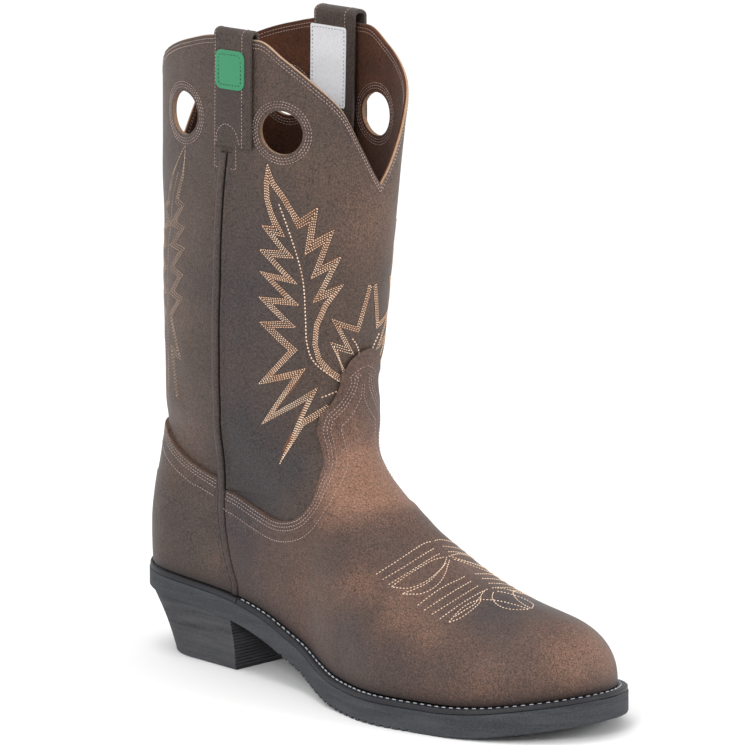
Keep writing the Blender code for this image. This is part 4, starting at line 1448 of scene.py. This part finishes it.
def stitch_shapes(points, outs, corners, thread, stitch, gap):
    """Adds the corners of each stitch along a line of points."""
    along = lengths(points)
    pitch = stitch + gap
    number = int((along[-1] + gap) / pitch)
    if number < 1:
        return
    start = (along[-1] - number * pitch + gap) / 2
    rings = ((0.00, 0.40, -0.7), (0.22, 1.0, 0.35), (0.78, 1.0, 0.35), (1.00, 0.40, -0.7))
    for i in range(number):
        low = start + i * pitch
        places = np.array([low + stitch * r[0] for r in rings])
        spots = at_lengths(points, places)
        ways = at_lengths_of(along, outs, places)
        heading = spots[-1] - spots[0]
        heading /= max(np.linalg.norm(heading), 1e-9)
        for (share_along, size, lift), spot, way in zip(rings, spots, ways):
            side = np.cross(way, heading)
            for turn in range(5):
                angle = turn * 2 * math.pi / 5
                height = math.sin(angle) * thread * size + lift * thread
                corners.append(spot + side * math.cos(angle) * thread * size + way * height)


def at_lengths_of(along, values, where):
    found = np.stack([np.interp(where, along, values[:, i]) for i in range(3)], 1)
    return found / np.linalg.norm(found, axis=1, keepdims=True)


def sew(name, lines, lift, material, thread=THREAD, stitch=STITCH, gap=STITCH_GAP):
    """Makes one mesh of all the stitches along lines of places."""
    corners = []
    for places in lines:
        points, outs = on_skin(places, lift)
        stitch_shapes(points, outs, corners, thread, stitch, gap)
    return stitch_mesh(name, corners, material)


def stitch_mesh(name, corners, material):
    faces = []
    for first in range(0, len(corners), 20):
        for ring_number in range(3):
            a = first + ring_number * 5
            for i in range(5):
                j = (i + 1) % 5
                faces.append((a + i, a + j, a + 5 + j, a + 5 + i))
        faces.append([first + i for i in range(5)][::-1])
        faces.append([first + 15 + i for i in range(5)])
    threads = mesh_piece(name, corners, faces, (material,))
    threads.data.polygons.foreach_set("use_smooth", [True] * len(threads.data.polygons))
    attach(threads, "root")
    return threads


def thread_material(name, light, dark):
    made = plain_material(name, light, 0.6)
    tree = made.node_tree
    shader = tree.nodes["Principled BSDF"]
    wear = noise(tree, 120, 4, 0.7)
    tree.links.new(ramp(tree, wear, ((0.30, dark), (0.56, light))), shader.inputs["Base Color"])
    twist = noise(tree, 2400, 2, 0.5)
    tree.links.new(bumps(tree, ((twist, 0.5, 0.0002),)), shader.inputs["Normal"])
    return made


cream_thread = thread_material("cream_thread", (0.86, 0.66, 0.50), (0.62, 0.36, 0.22))
mauve_thread = thread_material("mauve_thread", (0.42, 0.31, 0.28), (0.20, 0.13, 0.11))
grey_thread = thread_material("grey_thread", (0.42, 0.44, 0.48), (0.24, 0.25, 0.28))


def rows_beside(places, distances):
    return [places if distance == 0 else beside(places, distance) for distance in distances]


def both_sides(lines):
    return lines + [other_side(line) for line in lines]


def near_half(lines):
    """Keeps the part of each line that lies on the outer side, up to the front centre."""
    kept = []
    for line in lines:
        part = [place for place in line if place[0] <= HALF_COLUMNS]
        if len(part) > 1:
            kept.append(part)
    return kept




def flat_resampled(line, step):
    """A line of two numbers for each point, as points at even steps."""
    return resampled(np.column_stack([line, np.zeros(len(line))]), step)[:, :2]


vamp_line = side_places(flat_resampled(soft_line(VAMP_EDGE), FINE_STEP))
vamp_line = [place for place in vamp_line if place[0] >= BACK_COLUMNS + 1]
counter_line = side_places(flat_resampled(soft_line(COUNTER_EDGE), FINE_STEP))
counter_line = [place for place in counter_line if place[0] <= BACK_COLUMNS]
vamp_rows = near_half(rows_beside(vamp_line[::4], (-0.0012, -0.0030, -0.0048, -0.0105)))
counter_rows = near_half(rows_beside(counter_line[::4], (0.0012, 0.0030, 0.0048, 0.0105)))
sew("vamp_edge_stitches", both_sides(vamp_rows), PANEL_LIFT, mauve_thread, EDGE_THREAD)
sew("counter_edge_stitches", both_sides(counter_rows), PANEL_LIFT, mauve_thread, EDGE_THREAD)

# Figures of the leg, as places in the picture, and how many rows are sewn side by side. A point that
# juts out lies on the outermost row, and one that juts in on the innermost.
ROW_STEP = 0.95
FIGURE_STITCH = 0.00078
FIGURE_GAP = 0.00057
FIGURE_THREAD = 0.00025
TIP_DROP = 5.5
ACROSS_SCALE = 1.376
BACK_SCALE = 0.80
RIBBON_PARTS = 8
RIBBON_OVER = 0.16
RIBBON_LIFT = 0.00010
VEIN_THREAD = 0.00036
VEIN_STITCH = 0.0013
VEIN_GAP = 0.0006
DOWN_SCALE = 1.906
TIP_LIMIT = 3.2
LEAF_LEFT = (
    (267.7, 164.1), (264.6, 181), (265.2, 199), (269.6, 215), (284.6, 236.5), (262.3, 225.7),
    (293.6, 257.9), (260.0, 249.6), (297.1, 283.8), (260.0, 271.3), (298.9, 305.2), (259.4, 297.1),
    (295.4, 327.0), (260.2, 322.1), (297.1, 349.8), (258.8, 383.8), (305.2, 368.6), (262, 424),
    (317.5, 387.7), (279.9, 464.2), (304.0, 425.0), (329.6, 409.3),
)
LEAF_RIGHT = (
    (267.7, 164.1), (273.9, 180.6), (284.6, 195.4), (293.6, 210.4), (298.1, 228.3), (317.7, 207.9),
    (305.2, 254.3), (333.8, 230.2), (311.4, 278.4), (340.9, 257), (313.2, 302.5), (343.6, 284.4),
    (327.5, 306.0), (318.4, 326.9), (317.0, 343.7), (320.6, 357.8), (331.3, 369.8), (343.6, 377.5),
)
FLAME = ((345.9, 373.2), (330.4, 342.2), (353.4, 354.2), (332.1, 319.2), (358.5, 331.8), (369.0, 284.2))
BACK_LEAF = (
    (185.6, 144.6), (183.8, 175.7), (175.7, 202.5), (184.6, 204.3), (171.4, 223.9), (184.6, 227.5),
    (170.6, 245.4), (184.6, 248), (169.7, 268.6), (182.9, 274.8), (169.7, 292.7), (182.9, 298),
    (169.8, 314.1), (181.1, 359.6), (171, 345), (178.4, 397.1),
)
BACK_VEIN = (
    (185.6, 144.6), (178.4, 172), (172.4, 203), (168.9, 240), (168.3, 300), (168.3, 350), (168.8, 397),
)
LEAF_VEIN = (
    (278.4, 202.5), (286.4, 223.9), (297.1, 256.1), (303.4, 282.9), (305.6, 318.6), (307, 343.6),
    (315, 363.2), (340, 382),
)
LEAF_DASH = ((320.4, 398), (338.2, 390.9))
FLAME_VEIN = ((351.7, 337.6), (357.5, 347.0), (360.8, 361.7))


def chevron_rows(path, inside, rows, across_scale=ACROSS_SCALE):
    """Rows side by side along a pointed path of the picture, as lists of corners. inside is 1 if the
    figure lies to the right of a path that runs down, and -1 if to its left."""
    scale = (across_scale, DOWN_SCALE)
    corners = np.array(path, float) / scale
    ways = np.diff(corners, axis=0)
    ways /= np.linalg.norm(ways, axis=1, keepdims=True)
    before = np.concatenate([ways[:1], ways])
    after = np.concatenate([ways, ways[-1:]])
    middle = np.stack([before[:, 1] + after[:, 1], -before[:, 0] - after[:, 0]], 1)
    middle /= np.linalg.norm(middle, axis=1, keepdims=True)
    spread = middle[:, 0] * before[:, 1] - middle[:, 1] * before[:, 0]
    turn = before[:, 0] * after[:, 1] - before[:, 1] * after[:, 0]
    bend = (before * after).sum(1)
    juts_in = (turn * inside > 0) & (bend < 0.5)
    reach = middle / np.maximum(spread, 1 / TIP_LIMIT)[:, None] * inside * ROW_STEP
    first = np.where(juts_in, rows - 1, 0)
    found = [(corners + reach * (row - first)[:, None]) * scale for row in range(rows)]
    for row, line in enumerate(found):
        line[0] = (path[0][0], path[0][1] + TIP_DROP * row)
    return found


def mirrored(rows_of_places, axis):
    """The same rows on the other side of an axis, itself a line of places that runs down the leg."""
    heights = [place[1] for place in axis][::-1]
    columns = [place[0] for place in axis][::-1]
    turned = []
    for places in rows_of_places:
        turned.append([(2 * np.interp(row, heights, columns) - column, row) for column, row in places])
    return turned


def ribbon(name, figures, turned, lift, material):
    """The worn hide under each figure's rows, between its first row and its last."""
    points = []
    faces = []
    for rows_of_places in figures:
        first, last = rows_of_places[0], rows_of_places[-1]
        edges = []
        for a, b, c, d in zip(first, first[1:], last, last[1:]):
            for part in np.arange(RIBBON_PARTS) / RIBBON_PARTS:
                here = np.array(a) * (1 - part) + np.array(b) * part
                there = np.array(c) * (1 - part) + np.array(d) * part
                edges.append((here, there))
        edges.append((np.array(first[-1]), np.array(last[-1])))
        edges = [(a, b) for a, b in edges if max(a[0], b[0]) <= HALF_COLUMNS]
        edges = [(a + (a - b) * RIBBON_OVER, b + (b - a) * RIBBON_OVER) for a, b in edges]
        start = len(points)
        places = [tuple(place) for pair in edges for place in pair]
        spots, _ = on_skin(turned(places), lift)
        points += list(spots)
        for i in range(len(edges) - 1):
            a = start + 2 * i
            faces.append((a, a + 1, a + 3, a + 2))
    band = mesh_piece(name, points, faces, (material,))
    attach(band, "root")


worn_hide = suede("worn_hide", (0.060, 0.031, 0.020), (0.210, 0.105, 0.062))
figures = []
for path, inside, rows in ((LEAF_LEFT, 1, 4), (LEAF_RIGHT, -1, 4), (FLAME, -1, 3)):
    figures.append([seen_places(row) for row in chevron_rows(path, inside, rows)])
back_leaf = [seen_places(row) for row in chevron_rows(BACK_LEAF, -1, 3, BACK_SCALE)]
back_vein = seen_places(BACK_VEIN)
figure_rows = near_half([joined(places) for rows in figures for places in rows])
back_rows = [joined(places) for rows in (back_leaf, mirrored(back_leaf, back_vein)) for places in rows]
back_rows.append(joined(back_vein[1:]))
vein_rows = [joined(seen_places(soft_line(path, 4))) for path in (LEAF_VEIN, FLAME_VEIN, LEAF_DASH)]
vein_rows = near_half(vein_rows)
figure_sewing = (cream_thread, FIGURE_THREAD, FIGURE_STITCH, FIGURE_GAP)
vein_sewing = (cream_thread, VEIN_THREAD, VEIN_STITCH, VEIN_GAP)
tan_thread = thread_material("tan_thread", (0.44, 0.32, 0.24), (0.20, 0.12, 0.08))
for where, turned in (("outer", lambda line: line), ("inner", other_side)):
    sew(f"back_figure_stitches_{where}", [turned(line) for line in back_rows], 0.0, tan_thread, EDGE_THREAD)
    sew(f"figure_stitches_{where}", [turned(line) for line in figure_rows], RIBBON_LIFT, *figure_sewing)
    sew(f"vein_stitches_{where}", [turned(line) for line in vein_rows], 0.0, *vein_sewing)
    ribbon(f"worn_bands_{where}", figures, turned, RIBBON_LIFT, worn_hide)

MEDALLION = (
    ((377, 576.3), (395.7, 564.6), (413.6, 552.1), (426.1, 545), (442.1, 544.1)),
    ((383.2, 582.1), (404.6, 569.1), (422.5, 557.5), (436.8, 549.5), (449.3, 547.7)),
    ((389.5, 587), (413.6, 571.8), (435, 558.4), (449.3, 553), (460, 553)),
    ((393, 588.8), (408, 590.5), (422.5, 586.0), (435, 577.0), (443, 568.0), (445.7, 559)),
    ((393, 588.8), (404, 580.0), (418, 571.0), (432, 563.0), (443, 560.0)),
    ((402.9, 595.9), (422.5, 595.9), (437, 588.0), (444, 578.0), (447, 568.0), (449, 561)),
    ((402.9, 595.9), (415, 591.5), (428, 585.0), (438, 575.0), (446, 565.0)),
    ((418, 607.9), (440.4, 591.4), (460, 581.6), (474.3, 573.6), (481.4, 571.8)),
    ((424.6, 612.9), (449.3, 596.8), (470.7, 584.3), (486.8, 577.1)),
    ((431.8, 617.3), (456.4, 602.1), (477.9, 588.8), (493, 582.1)),
    ((439.5, 622.1), (460, 607.5), (477.9, 596.8), (497.5, 587.5)),
    (
        (449.3, 625), (460, 612.9), (470.7, 605.7), (481.4, 603), (495.7, 603.9), (511.8, 607.5),
        (528.8, 612.9),
    ),
    ((449.3, 625), (460, 621.0), (470, 614.5), (479.6, 605.7), (480.5, 599), (484, 594)),
    ((455, 619.5), (465, 613.0), (474, 607.5), (479.6, 600)),
    ((528.8, 612.9), (511.8, 612.9), (499, 609.3), (492.1, 602.0), (493, 595.2), (500, 591.5)),
)
medallion_rows = near_half([joined(seen_places(soft_line(path, 4))) for path in MEDALLION])
sew("vamp_figure_stitches", both_sides(medallion_rows), PANEL_LIFT, cream_thread)

collar_rows = []
for distance in (0.0018, 0.0037):
    line = []
    for column in np.arange(0, HALF_COLUMNS + 0.25, 0.5):
        ends, _ = on_skin([(column, SKIN_RINGS - 1), (column, SKIN_RINGS - 2)], 0.0)
        line.append((column, SKIN_RINGS - 1 - distance / np.linalg.norm(ends[0] - ends[1])))
    collar_rows.append(line)
hole_rows = []
for side, share_along, share_up in HOLES:
    for distance in (0.0020, 0.0034, 0.0048):
        around = []
        for angle in np.linspace(0, 2 * math.pi, 41):
            reach = HOLE_LONG / 2 + distance
            rise = HOLE_TALL / 2 + distance
            height = share_up * LEG_HEIGHT + rise * math.sin(angle)
            spot, _ = side_spot(side, share_along * SOLE_LENGTH, height, reach * math.cos(angle))
            around.append(spot)
        hole_rows.append(nearest_places(around))
sew("collar_stitches", both_sides(collar_rows) + hole_rows, 0.0, mauve_thread, EDGE_THREAD)
sew("collar_stitches_inside", both_sides(collar_rows) + hole_rows, -WALL, mauve_thread, EDGE_THREAD)

# Rows along the straps, and the arch with its box that closes the top of the side seam.
STRAP_ROWS = (0.065, 0.78)
SEWN_BOX = ((0.0782, 0.2795), (0.0782, 0.2670), (0.0935, 0.2670), (0.0935, 0.2795))
SEWN_ARCH = (
    # share across the strap, height
    (0.10, 0.2805),
    (0.13, 0.2860),
    (0.28, 0.2898),
    (0.45, 0.2900),
    (0.62, 0.2868),
    (0.72, 0.2805),
)
corners = []
for where, (side, middle, width, rise, slack) in STRAPS.items():
    for share_across in STRAP_ROWS:
        line = [strap_spot(where, share_across, *step)[0] for step in strap_path(1.0, rise, slack)]
        under = [strap_spot(where, share_across, *step)[0] for step in strap_path(0.0, rise, slack)]
        outs = np.array(line) - np.array(under)
        outs = outs / np.linalg.norm(outs, axis=1, keepdims=True)
        stitch_shapes(np.array(line), outs, corners, EDGE_THREAD, STITCH, STITCH_GAP)
arch = soft_line(SEWN_ARCH)
spots, outs = zip(*[strap_spot("outer", across, STRAP_GAP + STRAP_THICK, height) for across, height in arch])
stitch_shapes(np.array(spots), np.array(outs), corners, EDGE_THREAD, STITCH, STITCH_GAP)
box, box_outs = on_skin(joined(side_places(SEWN_BOX)), 0.0)
stitch_shapes(box, box_outs, corners, EDGE_THREAD, STITCH, STITCH_GAP)
stitch_mesh("strap_stitches", corners, mauve_thread)

# The border sewn round each tab.
BORDER_STEP = 0.0008
BORDER_GAP = 0.0009
label_thread = thread_material("label_thread", (0.30, 0.29, 0.36), (0.18, 0.17, 0.22))
patch_thread = thread_material("patch_thread", (0.006, 0.060, 0.030), (0.004, 0.035, 0.018))
for name, thread, inset in (("size_label", label_thread, 0.0014), ("green_patch", patch_thread, 0.0022)):
    _, _, _, width, length, thick, corner, _ = TABS[name]
    across = width / 2 - inset
    up = length / 2 - inset
    soft = max(corner - inset, 0.0006)
    border = []
    for turn, (x_way, z_way) in enumerate(((1, 1), (-1, 1), (-1, -1), (1, -1))):
        for angle in np.linspace(0, math.pi / 2, 6) + turn * math.pi / 2:
            x = x_way * (across - soft) + soft * math.cos(angle)
            border.append((x, z_way * (up - soft) + soft * math.sin(angle)))
    border = flat_resampled(border + border[:1], BORDER_STEP)
    spots, outs = zip(*[tab_spot(name, x / width, z / length, thick) for x, z in border])
    corners = []
    stitch_shapes(np.array(spots), np.array(outs), corners, EDGE_THREAD, STITCH, BORDER_GAP)
    stitch_mesh(f"{name}_border", corners, thread)

# Welt stitches, in a longer pitch and a thicker grey thread, in the channel of the welt.
welt_line = edge_loop(0.50, 0.86, True)
corners = []
welt_path = resampled(welt_line, 0.001)
stitch_shapes(welt_path, np.tile([0.0, 0.0, 1.0], (len(welt_path), 1)), corners, 0.00050, 0.0030, 0.0012)
stitch_mesh("welt_stitches", corners, grey_thread)
